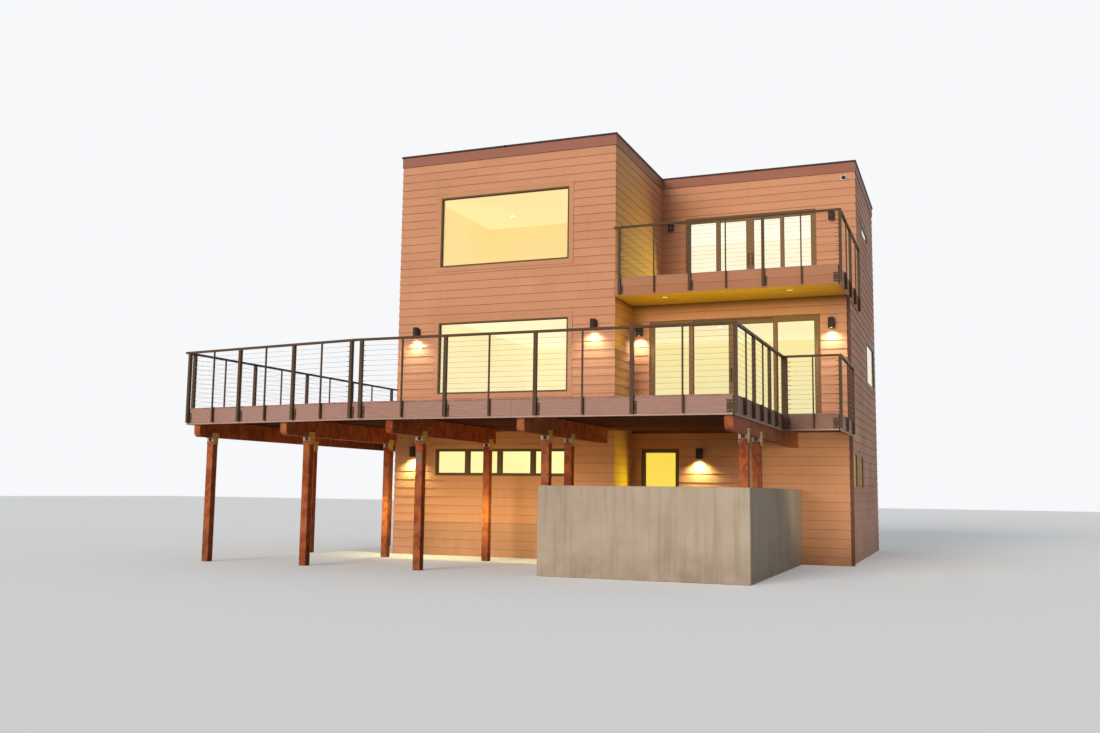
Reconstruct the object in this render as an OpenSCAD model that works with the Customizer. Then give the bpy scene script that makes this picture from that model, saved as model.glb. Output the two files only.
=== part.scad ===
// Three-storey beach house with a roofed-over corner tower, a roof balcony and a raised deck.
// Millimetres, +Z up. The street front faces -Y, and the model rests on the level z = 0.

/* [Storeys] */
// Lowest point of walls and posts up to the deck surface
deck_height = 2850; // [2600:10:3300]
// Deck surface up to the balcony surface
balcony_rise = 2925; // [2750:5:3200]
// Balcony surface up to the top of the roof edge
roof_rise = 3108; // [2950:2:3400]
// Upper floor up to the ceiling of the upper rooms
ceiling_rise = 2415; // [2350:5:2500]
// Thickness of the slab on the ground
slab_thickness = 150; // [120:10:250]
// Thickness of a framed floor
floor_thickness = 300; // [220:10:400]
// Thickness of the roof structure
roof_thickness = 350; // [250:10:420]

/* [House] */
// Width of the tower
tower_width = 5045; // [4700:5:6000]
// Width of the part beside the tower
side_width = 4485; // [4400:5:5500]
// Depth of the tower
house_depth = 7815; // [7800:5:10000]
// Setback of the two lower storeys behind the tower
lower_recess = 1230; // [900:10:1600]
// Setback of the upper storey behind the tower
upper_recess = 3545; // [3200:5:3800]
// Thickness of the outer walls
wall_thickness = 180; // [140:5:260]
// Thickness of the wall behind the upper tower room
partition_thickness = 120; // [90:5:160]
// Tower front to that wall
partition_setback = 4200; // [3900:10:5000]

/* [Roof edge] */
// Height of the brown board and its metal cap together
roof_band_height = 258; // [200:2:320]
// Thickness of the board
roof_board_thickness = 25; // [18:1:40]
// Thickness of the metal cap
coping_thickness = 40; // [25:1:60]
// Reach of the metal cap past the board and past the wall inside
coping_overhang = 18; // [8:1:40]

/* [Tower windows] */
// Width of the windows of the tower
tower_window_width = 3035; // [2400:5:3300]
// Height of the two large tower windows
tower_window_height = 1570; // [1200:5:1700]
// Tower's free edge to the windows
tower_window_offset = 990; // [700:5:1200]
// Upper floor to the sill of the upper window
upper_sill = 483; // [300:1:700]
// Deck surface to the sill of the middle window
middle_sill = 598; // [400:1:700]
// Deck surface down to the head of the ground windows
ground_head_drop = 585; // [560:5:700]
// Height of the ground window row
ground_window_height = 570; // [400:5:900]
// Panes in the ground window row
ground_panes = 4; // [2:1:6]

/* [Sliding doors] */
// Tower side to the upper door
upper_door_offset = 600; // [400:5:900]
// Width of the upper door
upper_door_width = 3025; // [2400:5:3300]
// Height of the upper door
upper_door_height = 2065; // [2000:5:2200]
// Tower side to the middle door
middle_door_offset = 385; // [300:5:600]
// Width of the middle door
middle_door_width = 3590; // [2800:5:3700]
// Height of the middle door
middle_door_height = 2185; // [2000:5:2300]
// Width of a door's outer bar
door_bar = 30; // [20:1:50]
// Width of a door panel's stiles
stile_width = 85; // [50:1:110]
// Height of a door panel's rails
door_rail_height = 95; // [50:5:150]

/* [Other windows] */
// Tower side to the patio window
patio_window_offset = 213; // [150:1:600]
// Width of the patio window
patio_window_width = 820; // [600:5:1200]
// Height of the patio window
patio_window_height = 1520; // [1000:5:1900]
// Width of the patio window's bar
patio_bar = 75; // [45:1:100]
// Rise of the patio window's head over the heads of the ground row
patio_head_rise = 40; // [0:5:80]
// Front wall to the first narrow side window
narrow_window_start = 860; // [600:10:1500]
// Width of a narrow side window
narrow_window_width = 610; // [400:10:800]
// Clear wall between the two narrow side windows
narrow_window_gap = 700; // [400:10:900]
// Height of a narrow side window
narrow_window_height = 757; // [600:1:900]
// Back wall to the middle side window
back_window_offset = 480; // [300:10:900]
// Width of the middle side window
back_window_width = 1800; // [1200:10:2100]
// Height of the middle side window
back_window_height = 1040; // [800:10:1300]
// Deck surface to the sill of the middle side window
back_window_sill = 1150; // [900:10:1200]
// Back wall to the upper slot window
slot_window_offset = 1600; // [900:10:2200]
// Width of the slot window
slot_window_width = 1400; // [900:10:1700]
// Height of the slot window
slot_window_height = 300; // [200:10:600]
// Upper floor to the sill of the slot window
slot_window_sill = 1680; // [1200:10:1700]
// Width of a window in the back wall
rear_window_width = 1000; // [800:10:1100]
// Height of a window in the back wall
rear_window_height = 1200; // [900:10:1300]
// Tower side to the middle of the back wall's window column behind the tower
rear_tower_column = 2700; // [2600:10:3200]
// Side wall back to the middle of the back wall's other window column
rear_side_column = 765; // [720:5:900]
// Front wall to the narrow window of the left wall
left_narrow_start = 860; // [600:10:1100]
// Front wall to the middle window of the left wall
left_window_start = 450; // [400:10:600]
// Width of that window
left_window_width = 1200; // [900:10:1250]

/* [Frames] */
// Width of a window frame's bar
frame_width = 50; // [35:1:80]
// Width of the bar round the two large tower windows
large_frame_width = 32; // [24:1:60]
// Depth of a frame
frame_depth = 95; // [60:1:130]
// Frame set back from the wall's face where there is no trim
frame_setback = 12; // [5:1:40]
// Frame standing proud of the wall's face inside its trim
frame_proud = 18; // [0:1:30]
// Face of a frame to its glass
glass_setback = 24; // [12:1:40]
// Thickness of the glass units
glass_thickness = 22; // [12:1:36]
// Width of the flat trim round a window
trim_width = 100; // [60:5:140]
// Thickness of the trim
trim_thickness = 22; // [12:1:35]

/* [Balcony] */
// Reach of the balcony past the tower's front
balcony_reach = 38; // [10:1:400]
// Reach of the balcony past the side wall
balcony_side_reach = 25; // [25:1:120]
// Height of the balcony's edge
balcony_edge_height = 382; // [300:2:450]
// Thickness of the soffit
soffit_thickness = 15; // [10:1:25]
// Clear gap between balcony joists
balcony_joist_gap = 370; // [300:10:600]
// Tower side to the first post of the balcony's front rail
balcony_rail_inset = 117; // [40:1:300]

/* [Deck] */
// Deck front edge in front of the tower
deck_reach = 5145; // [4800:5:5600]
// Tower side to the deck's right edge
deck_right = 3540; // [3300:5:4200]
// Tower side to the bend in the front edge
bend_left = 2885; // [2400:5:3300]
// Tower side to the left front corner
deck_left = 6960; // [6700:10:7400]
// Set back of the left front corner behind the front edge
deck_left_setback = 630; // [300:10:900]
// Tower side to the deck's left edge at its back end
deck_left_back = 6830; // [6820:10:7000]
// Length of the deck beside the tower
deck_side_length = 4665; // [3600:5:6000]
// Front edge of the walkway in front of the tower
walkway_reach = 935; // [700:5:1300]
// Reach of the walkway past the side wall
walkway_side_reach = 80; // [60:5:300]
// Thickness of the deck boards
board_thickness = 25; // [20:1:40]
// Height of the deck's edge with its boards
deck_edge_height = 308; // [250:2:360]
// Thickness of the edge boards
edge_thickness = 25; // [18:1:40]
// Depth of the joists
joist_depth = 200; // [150:5:240]
// Thickness of a joist
joist_thickness = 38; // [30:1:60]
// Spacing of the joists
joist_spacing = 406; // [300:2:600]

/* [Deck structure] */
// Deck's right edge to the middle of the right beam
right_beam_inset = 100; // [95:5:300]
// Right beam to the beam beside the tower's corner
court_bay = 3325; // [3000:5:3400]
// That beam to the next one
middle_bay = 2380; // [2000:5:2500]
// That beam to the next one
left_bay = 2285; // [2000:5:2400]
// That beam to the beam at the deck's left edge
end_bay = 2170; // [1900:5:2200]
// Tower front to the front posts of the three right beams
front_post_reach = 3960; // [3700:10:4300]
// Tower front to the front posts of the two left beams
left_post_reach = 4040; // [3700:10:4300]
// Tower front to the second row of posts on the concrete wall
second_post_reach = 2880; // [2000:10:3300]
// Tower front to the rear row of posts
rear_post_reach = 1180; // [1150:10:1600]
// Tower front to the middle post of the left beam
side_post_reach = 700; // [300:10:1500]
// Tower front back to the last post of the left beam
side_post_setback = 2600; // [1500:10:3500]
// Width of a beam
beam_width = 130; // [90:1:160]
// Depth of a beam
beam_depth = 305; // [240:5:360]
// Nose of a beam behind the deck's front edge
beam_nose_setback = 60; // [30:5:300]
// Radius at the nose's lower corner
nose_radius = 90; // [40:5:150]
// Gap between the short beams and the tower
beam_end_gap = 950; // [600:10:1400]
// Side of a square post
post_size = 140; // [110:2:180]
// Clear height between a post and its beam
post_gap = 70; // [30:5:120]
// Thickness of the steel caps
cap_thickness = 6; // [4:1:10]
// Height of a cap's ears on the beam
cap_ear_height = 90; // [60:5:160]
// Length of the ears along the beam
cap_ear_length = 190; // [140:5:240]
// Width of a cap's flanges between post and beam
cap_flange_width = 36; // [20:1:50]
// Length of a cap's straps down the post
cap_strap_length = 60; // [40:5:150]
// Top of the concrete wall below the deck surface
concrete_drop = 1360; // [1300:10:1600]
// Thickness of the concrete wall
concrete_thickness = 220; // [180:5:300]

/* [Railings] */
// Height of the top rail over the floor
rail_height = 1067; // [1000:1:1150]
// Width of the top rail
rail_width = 57; // [40:1:70]
// Depth of the top rail
rail_depth = 38; // [25:1:50]
// Side of a main post
rail_post_size = 56; // [40:1:60]
// Side of a slim post between them
slim_post_size = 25; // [16:1:36]
// Posts end above the bottom of the deck's edge
post_foot_gap = 35; // [10:5:80]
// Bend in the deck's front to the post on each side of it
bend_post_inset = 102; // [80:1:200]
// Left front corner to the first post of the front railing
front_corner_inset = 60; // [30:1:120]
// Left front corner to the nearest post of the left railing
side_corner_inset = 190; // [100:5:300]
// Thickness of the bolted plates beside the main posts
plate_thickness = 8; // [5:1:12]
// Width of a plate beside its post
plate_width = 45; // [30:1:70]
// Height of a plate
plate_height = 190; // [120:5:240]
// Width of the plate beside a corner post
corner_plate_width = 115; // [60:1:160]

/* [Fittings] */
// Tower's left edge to its left lamps
tower_lamp_left = 465; // [200:5:700]
// Tower's right edge to its right lamp
tower_lamp_right = 440; // [200:5:700]
// Tower side to the left lamp by the middle door
door_lamp_left = 180; // [120:5:300]
// Side wall back to the right lamp by the middle door
door_lamp_right = 285; // [150:5:400]
// Tower side to the left lamp by the balcony door
balcony_lamp_left = 250; // [120:5:400]
// Side wall back to the right lamp by the balcony door
balcony_lamp_right = 515; // [150:5:700]
// Tower side to the lamp beside the patio window
patio_lamp_offset = 1480; // [1200:5:1900]
// Middle of the lamps under the deck below its surface
patio_lamp_drop = 650; // [600:5:900]
// Diameter of a wall lamp
lamp_diameter = 130; // [90:2:180]
// Height of a wall lamp
lamp_height = 215; // [150:5:300]
// Lamp axis in front of the wall
lamp_reach = 95; // [80:1:140]
// Middle of the lamps over deck and patio level
lamp_rise = 1975; // [1800:5:2100]
// Middle of the balcony lamps over the balcony
balcony_lamp_rise = 1875; // [1800:5:2100]
// Side of the square downspout
downspout_size = 75; // [50:1:100]
// Gap between the downspout and the front wall's face
downspout_gap = 20; // [10:2:60]
// Diameter of the dome camera
camera_diameter = 130; // [80:2:150]
// Thickness of its base
camera_base = 40; // [20:2:60]
// Side wall to the middle of the camera
camera_inset = 235; // [100:5:500]
// Roof top to the middle of the camera
camera_drop = 387; // [320:1:700]

/* [Hidden] */

// Levels
deck_z = deck_height;
balcony_z = deck_z + balcony_rise;
roof_z = balcony_z + roof_rise;
wall_top_z = roof_z - coping_thickness;
upper_floor_z = balcony_z - board_thickness;
ceiling_z = balcony_z + ceiling_rise;
beam_top_z = deck_z - board_thickness - joist_depth;
beam_bottom_z = beam_top_z - beam_depth;
concrete_z = deck_z - concrete_drop;
ground_head_z = deck_z - ground_head_drop;

// Plan lines
left_x = -tower_width;
right_x = side_width;
back_y = house_depth;
inner_left_x = left_x + wall_thickness;
inner_right_x = right_x - wall_thickness;
inner_back_y = back_y - wall_thickness;
tower_window_x = left_x + tower_window_offset;
track_depth = frame_depth / 2;

// Top rail: its reach outside an edge, and its reach past the posts' faces
rail_reach = (rail_post_size + rail_width) / 2;
rail_lap = (rail_width - rail_post_size) / 2;
// Corner post outside both edges: the end of its rail, its place in it, and the next rail's start
corner_end_inset = rail_reach - rail_post_size / 2;
corner_start_inset = -rail_width / 2;

// Deck outline, anticlockwise seen from above
bend_point = [-bend_left, -deck_reach];
left_front = [-deck_left, -deck_reach + deck_left_setback];
left_back = [-deck_left_back, deck_side_length];
right_front = [deck_right, -deck_reach];
walkway_inner = [deck_right, -walkway_reach];
walkway_front = [right_x + walkway_side_reach, -walkway_reach];
walkway_back = [right_x + walkway_side_reach, lower_recess];
deck_outline = [
    left_front, bend_point, right_front, walkway_inner, walkway_front, walkway_back,
    [0, lower_recess], [0, 0], [left_x, 0], [left_x, deck_side_length], left_back
];
deck_edges = [
    [left_back, left_front], [left_front, bend_point], [bend_point, right_front],
    [right_front, walkway_inner], [walkway_inner - [edge_thickness, 0], walkway_front],
    [walkway_front, walkway_back], [[left_x, deck_side_length], left_back]
];

// Slants of the left part's front edge and of the left edge, and the rails that meet at its ends
front_slant = atan2(deck_left_setback, deck_left - bend_left);
side_slant = atan2(deck_left - deck_left_back, left_back[1] - left_front[1]);
front_rail_overlap = rail_reach * (1 - sin(front_slant)) / cos(front_slant);
front_rail_start = left_front - front_rail_overlap * [cos(front_slant), -sin(front_slant)];
side_rail_start = left_back - [0, rail_lap + rail_reach * tan(side_slant)];
side_rail_gap = rail_lap + rail_reach * tan(front_slant);

// Beams from left to right: middle line and back end
right_beam_x = deck_right - right_beam_inset;
corner_beam_x = right_beam_x - court_bay;
middle_beam_x = corner_beam_x - middle_bay;
left_beam_x = middle_beam_x - left_bay;
end_beam_x = left_beam_x - end_bay;
beam_x = [end_beam_x, left_beam_x, middle_beam_x, corner_beam_x, right_beam_x];
short_end_y = -beam_end_gap;
beam_back_y = [deck_side_length - beam_nose_setback, short_end_y, short_end_y, short_end_y, lower_recess];
// Posts under the beams: beam number, place along it, whether it stands on the concrete wall
front_post_y = -front_post_reach;
left_post_y = -left_post_reach;
second_post_y = -second_post_reach;
rear_post_y = -rear_post_reach;
post_places = [
    [0, left_post_y, false], [0, -side_post_reach, false], [0, side_post_setback, false],
    [1, left_post_y, false], [1, rear_post_y, false],
    [2, front_post_y, false], [2, rear_post_y, false],
    [3, front_post_y, true], [3, second_post_y, true],
    [4, front_post_y, true], [4, second_post_y, true]
];

// Whole model's box, for the origin below its middle
box_left = -deck_left - rail_reach;
box_right = walkway_front[0] + rail_reach;
box_front = -deck_reach - rail_reach;
box_back = back_y + roof_board_thickness + coping_overhang;
origin_x = (box_left + box_right) / 2;
origin_y = (box_front + box_back) / 2;

siding = "#b98f6c";
board_brown = "#6f4733";
dark_metal = "#2f2a28";
bronze = "#2b2523";
deck_grey = "#9b8078";
timber = "#7d4630";
steel = "#8b8f92";
glass_tint = "#f3e2a0";
plaster = "#efe4cf";
concrete = "#b9b2a8";

// Places a piece drawn from the tower's front corner in the model's own frame
module at_origin() {
    translate([-origin_x, -origin_y, 0]) children();
}

// Box between two corners
module span(low, high) {
    translate(low) cube(high - low);
}

// Upright slab on a plan outline
module plate(points, z0, z1) {
    translate([0, 0, z0]) linear_extrude(z1 - z0) polygon(points);
}

// Plan outline of the rooms for a setback of the side part
function room_outline(setback) = [
    [inner_left_x, wall_thickness], [-wall_thickness, wall_thickness],
    [-wall_thickness, setback + wall_thickness], [inner_right_x, setback + wall_thickness],
    [inner_right_x, inner_back_y], [inner_left_x, inner_back_y]
];

// Plan outline of the upper storey's outer face, moved out by a reach
function upper_outline(reach) = [
    [left_x - reach, -reach], [reach, -reach], [reach, upper_recess - reach],
    [right_x + reach, upper_recess - reach], [right_x + reach, back_y + reach],
    [left_x - reach, back_y + reach]
];

// Places of the windows in walls that face the front: x, z, width, height
upper_window = [tower_window_x, balcony_z + upper_sill, tower_window_width, tower_window_height];
middle_window = [tower_window_x, deck_z + middle_sill, tower_window_width, tower_window_height];
ground_window = [
    tower_window_x, ground_head_z - ground_window_height, tower_window_width, ground_window_height
];
patio_window = [
    patio_window_offset, ground_head_z + patio_head_rise - patio_window_height,
    patio_window_width, patio_window_height
];
upper_door = [upper_door_offset, balcony_z, upper_door_width, upper_door_height];
middle_door = [middle_door_offset, deck_z, middle_door_width, middle_door_height];

// Places of the windows in the side walls: y, z, width, height
narrow_y = lower_recess + narrow_window_start;
narrow_z = ground_head_z - narrow_window_height;
narrow_windows = [
    for (k = [0, 1])
        [narrow_y + k * (narrow_window_width + narrow_window_gap), narrow_z,
         narrow_window_width, narrow_window_height]
];
back_window = [
    back_y - back_window_offset - back_window_width, deck_z + back_window_sill,
    back_window_width, back_window_height
];
slot_window = [
    back_y - slot_window_offset - slot_window_width, balcony_z + slot_window_sill,
    slot_window_width, slot_window_height
];

left_narrow_window = [left_narrow_start, narrow_z, narrow_window_width, narrow_window_height];
left_window = [
    left_window_start, deck_z + back_window_sill, left_window_width, back_window_height
];

right_windows = concat(narrow_windows, [back_window, slot_window]);
left_windows = [left_narrow_window, left_window, slot_window];

// Windows of the back wall, in one column behind the tower and one at the side wall
rear_centres = [-rear_tower_column, right_x - rear_side_column];
rear_windows = [
    for (x = rear_centres)
        for (spot = [
            [balcony_z + upper_sill, rear_window_height],
            [deck_z + middle_sill, rear_window_height],
            [ground_head_z - ground_window_height, ground_window_height]
        ])
            [x - rear_window_width / 2, spot[0], rear_window_width, spot[1]]
];

// Wall along X with openings
module front_facing_wall(x0, x1, y0, z0, z1, openings = []) {
    difference() {
        span([x0, y0, z0], [x1, y0 + wall_thickness, z1]);
        for (o = openings)
            translate([o[0], y0 - 1, o[1]]) cube([o[2], wall_thickness + 2, o[3]]);
    }
}

// Wall along Y with openings
module side_facing_wall(y0, y1, x0, z0, z1, openings = []) {
    difference() {
        span([x0, y0, z0], [x0 + wall_thickness, y1, z1]);
        for (o = openings)
            translate([x0 - 1, o[0], o[1]]) cube([wall_thickness + 2, o[2], o[3]]);
    }
}

// Ring of bars in the X-Z plane, with its depth along +Y
module bar_ring(w, h, bar, rail, depth) {
    difference() {
        cube([w, depth, h]);
        translate([bar, -1, rail]) cube([w - 2 * bar, depth + 2, h - 2 * rail]);
    }
}

// Window frame with upright bars between its panes
module window_frame(w, h, panes = 1, bar = frame_width) {
    bar_ring(w, h, bar, bar, frame_depth);
    for (k = [1:1:panes - 1])
        translate([k * w / panes - bar, 0, bar]) cube([2 * bar, frame_depth, h - 2 * bar]);
}

// Glass of such a window
module window_glass(w, h, panes = 1, bar = frame_width) {
    for (k = [0:1:panes - 1]) {
        left = k * w / panes + bar;
        right = (k + 1) * w / panes - bar;
        translate([left, glass_setback, bar]) cube([right - left, glass_thickness, h - 2 * bar]);
    }
}

// Panels of a sliding door from left to right: start across, and start of its track in depth.
// The outer two are fixed in the front track, and the inner two meet in the middle behind them.
function door_panel_width(w) = (w / 2 - door_bar + stile_width) / 2;
function door_panel_places(w) = [
    [door_bar, 0], [w / 2 - door_panel_width(w), track_depth],
    [w / 2, track_depth], [w - door_bar - door_panel_width(w), 0]
];

// Sliding door: an outer frame and its panels
module door_frame(w, h) {
    bar_ring(w, h, door_bar, door_bar, frame_depth);
    for (p = door_panel_places(w))
        translate([p[0], p[1], door_bar])
            bar_ring(door_panel_width(w), h - 2 * door_bar, stile_width, door_rail_height, track_depth);
}

// Glass of such a door
module door_glass(w, h) {
    low = door_bar + door_rail_height;
    for (p = door_panel_places(w))
        translate([p[0] + stile_width, p[1] + (track_depth - glass_thickness) / 2, low])
            cube([door_panel_width(w) - 2 * stile_width, glass_thickness, h - 2 * low]);
}

// Puts a window piece in an opening of a wall that faces the front, behind the wall's face
module in_front_wall(o, wall_y) {
    translate([o[0], wall_y + frame_setback, o[1]]) children();
}

// Puts it inside the trim of the tower's front
module in_tower_front(o) {
    translate([o[0], -frame_proud, o[1]]) children();
}

// Puts it inside the trim of a side wall that faces +X
module in_right_wall(o) {
    translate([right_x + frame_proud, o[0], o[1]]) rotate(90) children();
}

// Puts it inside the trim of a side wall that faces -X
module in_left_wall(o) {
    translate([left_x - frame_proud, o[0] + o[2], o[1]]) rotate(-90) children();
}

// Puts it inside the trim of the back wall
module in_rear_wall(o) {
    translate([o[0] + o[2], back_y + frame_proud, o[1]]) rotate(180) children();
}

// Flat boards round an opening, standing proud along -Y
module trim_ring(w, h) {
    translate([-trim_width, -trim_thickness, -trim_width])
        bar_ring(w + 2 * trim_width, h + 2 * trim_width, trim_width, trim_width, trim_thickness);
}

// Board along an edge line, with its thickness to the left of the line's direction
module edge_board(a, b, z0, z1, thickness) {
    run = b - a;
    side = [-run[1], run[0]] / norm(run) * thickness;
    plate([a, b, b + side, a + side], z0, z1);
}

// Railing from one plan point to another, outside an edge at its left. Main and slim posts stand
// in turn from the first post's number on. The end is plain, has a plate beside its post, or is a
// corner, where the last post stands past the edge with a wide plate before it.
module railing(
    a, b, floor_z, edge_height, bays, start_inset = rail_post_size / 2,
    end_inset = rail_post_size / 2, first_post = 0, end = "plain"
) {
    run = b - a;
    foot_z = floor_z - edge_height + post_foot_gap;
    rail_z = floor_z + rail_height - rail_depth;
    step = (norm(run) - start_inset - end_inset) / bays;
    translate([a[0], a[1], 0]) rotate(atan2(run[1], run[0])) {
        span([0, -rail_reach, rail_z], [norm(run), rail_lap, rail_z + rail_depth]);
        for (k = [first_post:1:bays]) {
            main = k % 2 == 0;
            size = main ? rail_post_size : slim_post_size;
            x = start_inset + k * step;
            span([x - size / 2, -rail_post_size, foot_z], [x + size / 2, size - rail_post_size, rail_z]);
            if (!main)
                span([x - size / 2, -rail_post_size, foot_z], [x + size / 2, 0, floor_z]);
            if (main && (k < bays || end == "plate"))
                span([x, -plate_thickness, foot_z], [x + size / 2 + plate_width, 0, foot_z + plate_height]);
            if (k == bays && end == "corner")
                span([x - size / 2 - corner_plate_width, -plate_thickness, foot_z],
                     [x, 0, foot_z + plate_height]);
        }
    }
}

module ground_slab() {
    color(concrete) at_origin() plate(room_outline(lower_recess), 0, slab_thickness);
}

module middle_floor() {
    color(plaster) at_origin() plate(room_outline(lower_recess), deck_z - floor_thickness, deck_z);
}

module upper_floor() {
    color(plaster) at_origin()
        plate(room_outline(lower_recess), upper_floor_z - floor_thickness, upper_floor_z);
}

module roof_deck() {
    color(plaster) at_origin() plate(room_outline(upper_recess), ceiling_z, ceiling_z + roof_thickness);
}

module tower_front_wall() {
    color(siding) at_origin()
        front_facing_wall(left_x, 0, 0, 0, wall_top_z, [upper_window, middle_window, ground_window]);
}

module tower_left_wall() {
    color(siding) at_origin()
        side_facing_wall(wall_thickness, back_y, left_x, 0, wall_top_z, left_windows);
}

module tower_side_wall_lower() {
    color(siding) at_origin()
        side_facing_wall(wall_thickness, lower_recess + wall_thickness, -wall_thickness, 0, upper_floor_z);
}

module tower_side_wall_upper() {
    color(siding) at_origin()
        side_facing_wall(
            wall_thickness, upper_recess + wall_thickness, -wall_thickness, upper_floor_z, wall_top_z
        );
}

module recess_wall_lower() {
    color(siding) at_origin()
        front_facing_wall(0, right_x, lower_recess, 0, upper_floor_z, [patio_window, middle_door]);
}

module recess_wall_upper() {
    color(siding) at_origin()
        front_facing_wall(0, right_x, upper_recess, upper_floor_z, wall_top_z, [upper_door]);
}

module side_wall_lower() {
    color(siding) at_origin()
        side_facing_wall(
            lower_recess + wall_thickness, back_y, inner_right_x, 0, upper_floor_z,
            concat(narrow_windows, [back_window])
        );
}

module side_wall_upper() {
    color(siding) at_origin()
        side_facing_wall(
            upper_recess + wall_thickness, back_y, inner_right_x, upper_floor_z, wall_top_z, [slot_window]
        );
}

module rear_wall() {
    color(siding) at_origin()
        front_facing_wall(inner_left_x, inner_right_x, inner_back_y, 0, wall_top_z, rear_windows);
}

module upper_room_back_wall() {
    color(plaster) at_origin()
        span(
            [inner_left_x, partition_setback, upper_floor_z],
            [-wall_thickness, partition_setback + partition_thickness, ceiling_z]
        );
}

module roof_fascia() {
    color(board_brown) at_origin() difference() {
        plate(upper_outline(roof_board_thickness), roof_z - roof_band_height, wall_top_z);
        plate(upper_outline(0), roof_z - roof_band_height - 1, wall_top_z + 1);
    }
}

module roof_coping() {
    color(dark_metal) at_origin() difference() {
        plate(upper_outline(roof_board_thickness + coping_overhang), wall_top_z, roof_z);
        plate(upper_outline(-wall_thickness - coping_overhang), wall_top_z - 1, roof_z + 1);
    }
}

module window_trim() {
    color(siding) at_origin() {
        for (o = [upper_window, middle_window, ground_window])
            translate([o[0], 0, o[1]]) trim_ring(o[2], o[3]);
        for (o = right_windows)
            translate([right_x, o[0], o[1]]) rotate(90) trim_ring(o[2], o[3]);
        for (o = left_windows)
            translate([left_x, o[0] + o[2], o[1]]) rotate(-90) trim_ring(o[2], o[3]);
        for (o = rear_windows)
            translate([o[0] + o[2], back_y, o[1]]) rotate(180) trim_ring(o[2], o[3]);
    }
}

module front_window_frames() {
    color(bronze) at_origin() {
        for (o = [upper_window, middle_window])
            in_tower_front(o) window_frame(o[2], o[3], bar = large_frame_width);
        in_tower_front(ground_window)
            window_frame(ground_window[2], ground_window[3], ground_panes);
        in_front_wall(patio_window, lower_recess)
            window_frame(patio_window[2], patio_window[3], bar = patio_bar);
    }
}

module front_window_glass() {
    color(glass_tint, 0.5) at_origin() {
        for (o = [upper_window, middle_window])
            in_tower_front(o) window_glass(o[2], o[3], bar = large_frame_width);
        in_tower_front(ground_window)
            window_glass(ground_window[2], ground_window[3], ground_panes);
        in_front_wall(patio_window, lower_recess)
            window_glass(patio_window[2], patio_window[3], bar = patio_bar);
    }
}

module sliding_door_frames() {
    color(bronze) at_origin() {
        in_front_wall(upper_door, upper_recess) door_frame(upper_door[2], upper_door[3]);
        in_front_wall(middle_door, lower_recess) door_frame(middle_door[2], middle_door[3]);
    }
}

module sliding_door_glass() {
    color(glass_tint, 0.5) at_origin() {
        in_front_wall(upper_door, upper_recess) door_glass(upper_door[2], upper_door[3]);
        in_front_wall(middle_door, lower_recess) door_glass(middle_door[2], middle_door[3]);
    }
}

module wide_window_frames() {
    color(bronze) at_origin() {
        for (o = [back_window, slot_window])
            in_right_wall(o) window_frame(o[2], o[3]);
        for (o = [left_window, slot_window])
            in_left_wall(o) window_frame(o[2], o[3]);
    }
}

module small_window_frames() {
    color(bronze) at_origin() {
        for (o = narrow_windows)
            in_right_wall(o) window_frame(o[2], o[3]);
        in_left_wall(left_narrow_window) window_frame(narrow_window_width, narrow_window_height);
        for (o = rear_windows)
            in_rear_wall(o) window_frame(o[2], o[3]);
    }
}

module side_and_rear_glass() {
    color(glass_tint, 0.5) at_origin() {
        for (o = right_windows)
            in_right_wall(o) window_glass(o[2], o[3]);
        for (o = left_windows)
            in_left_wall(o) window_glass(o[2], o[3]);
        for (o = rear_windows)
            in_rear_wall(o) window_glass(o[2], o[3]);
    }
}

// Balcony lines: the edge boards stand outside the joists
balcony_right_x = right_x + balcony_side_reach;
balcony_front_y = -balcony_reach;
balcony_bottom_z = balcony_z - balcony_edge_height;
joist_low_z = balcony_bottom_z + soffit_thickness;

module balcony_joists() {
    rim_y = balcony_front_y + edge_thickness;
    rim_x = balcony_right_x - edge_thickness;
    bays = ceil(rim_x / (joist_thickness + balcony_joist_gap));
    color(timber) at_origin() {
        span([0, rim_y, joist_low_z], [rim_x, rim_y + joist_thickness, upper_floor_z]);
        for (k = [0:1:bays - 1])
            translate([k * (right_x - joist_thickness) / bays, rim_y, joist_low_z])
                cube([joist_thickness, lower_recess - rim_y, upper_floor_z - joist_low_z]);
        span([right_x - joist_thickness, rim_y, joist_low_z], [rim_x, lower_recess, upper_floor_z]);
        if (rim_x > right_x)
            span([right_x, lower_recess, joist_low_z], [rim_x, upper_recess, upper_floor_z]);
    }
}

module balcony_boards() {
    color(deck_grey) at_origin()
        span([0, balcony_front_y, upper_floor_z], [balcony_right_x, upper_recess, balcony_z]);
}

module balcony_fascia() {
    corner = [balcony_right_x, balcony_front_y];
    color(deck_grey) at_origin() {
        edge_board([0, balcony_front_y], corner, balcony_bottom_z, upper_floor_z, edge_thickness);
        edge_board(corner, [balcony_right_x, upper_recess], balcony_bottom_z, upper_floor_z, edge_thickness);
    }
}

module balcony_soffit() {
    color(siding) at_origin()
        span([0, balcony_front_y + edge_thickness, balcony_bottom_z],
             [balcony_right_x - edge_thickness, lower_recess, joist_low_z]);
}

module balcony_front_rail() {
    color(bronze) at_origin()
        railing([0, balcony_front_y], [balcony_right_x + rail_reach, balcony_front_y],
                balcony_z, balcony_edge_height, 6,
                start_inset = balcony_rail_inset, end_inset = corner_end_inset, end = "corner");
}

module balcony_side_rail() {
    start = [balcony_right_x, balcony_front_y + rail_lap];
    color(bronze) at_origin()
        railing(start, [balcony_right_x, upper_recess], balcony_z, balcony_edge_height, 4,
                start_inset = corner_start_inset, first_post = 1);
}

module deck_boards() {
    color(deck_grey) at_origin() plate(deck_outline, deck_z - board_thickness, deck_z);
}

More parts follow.
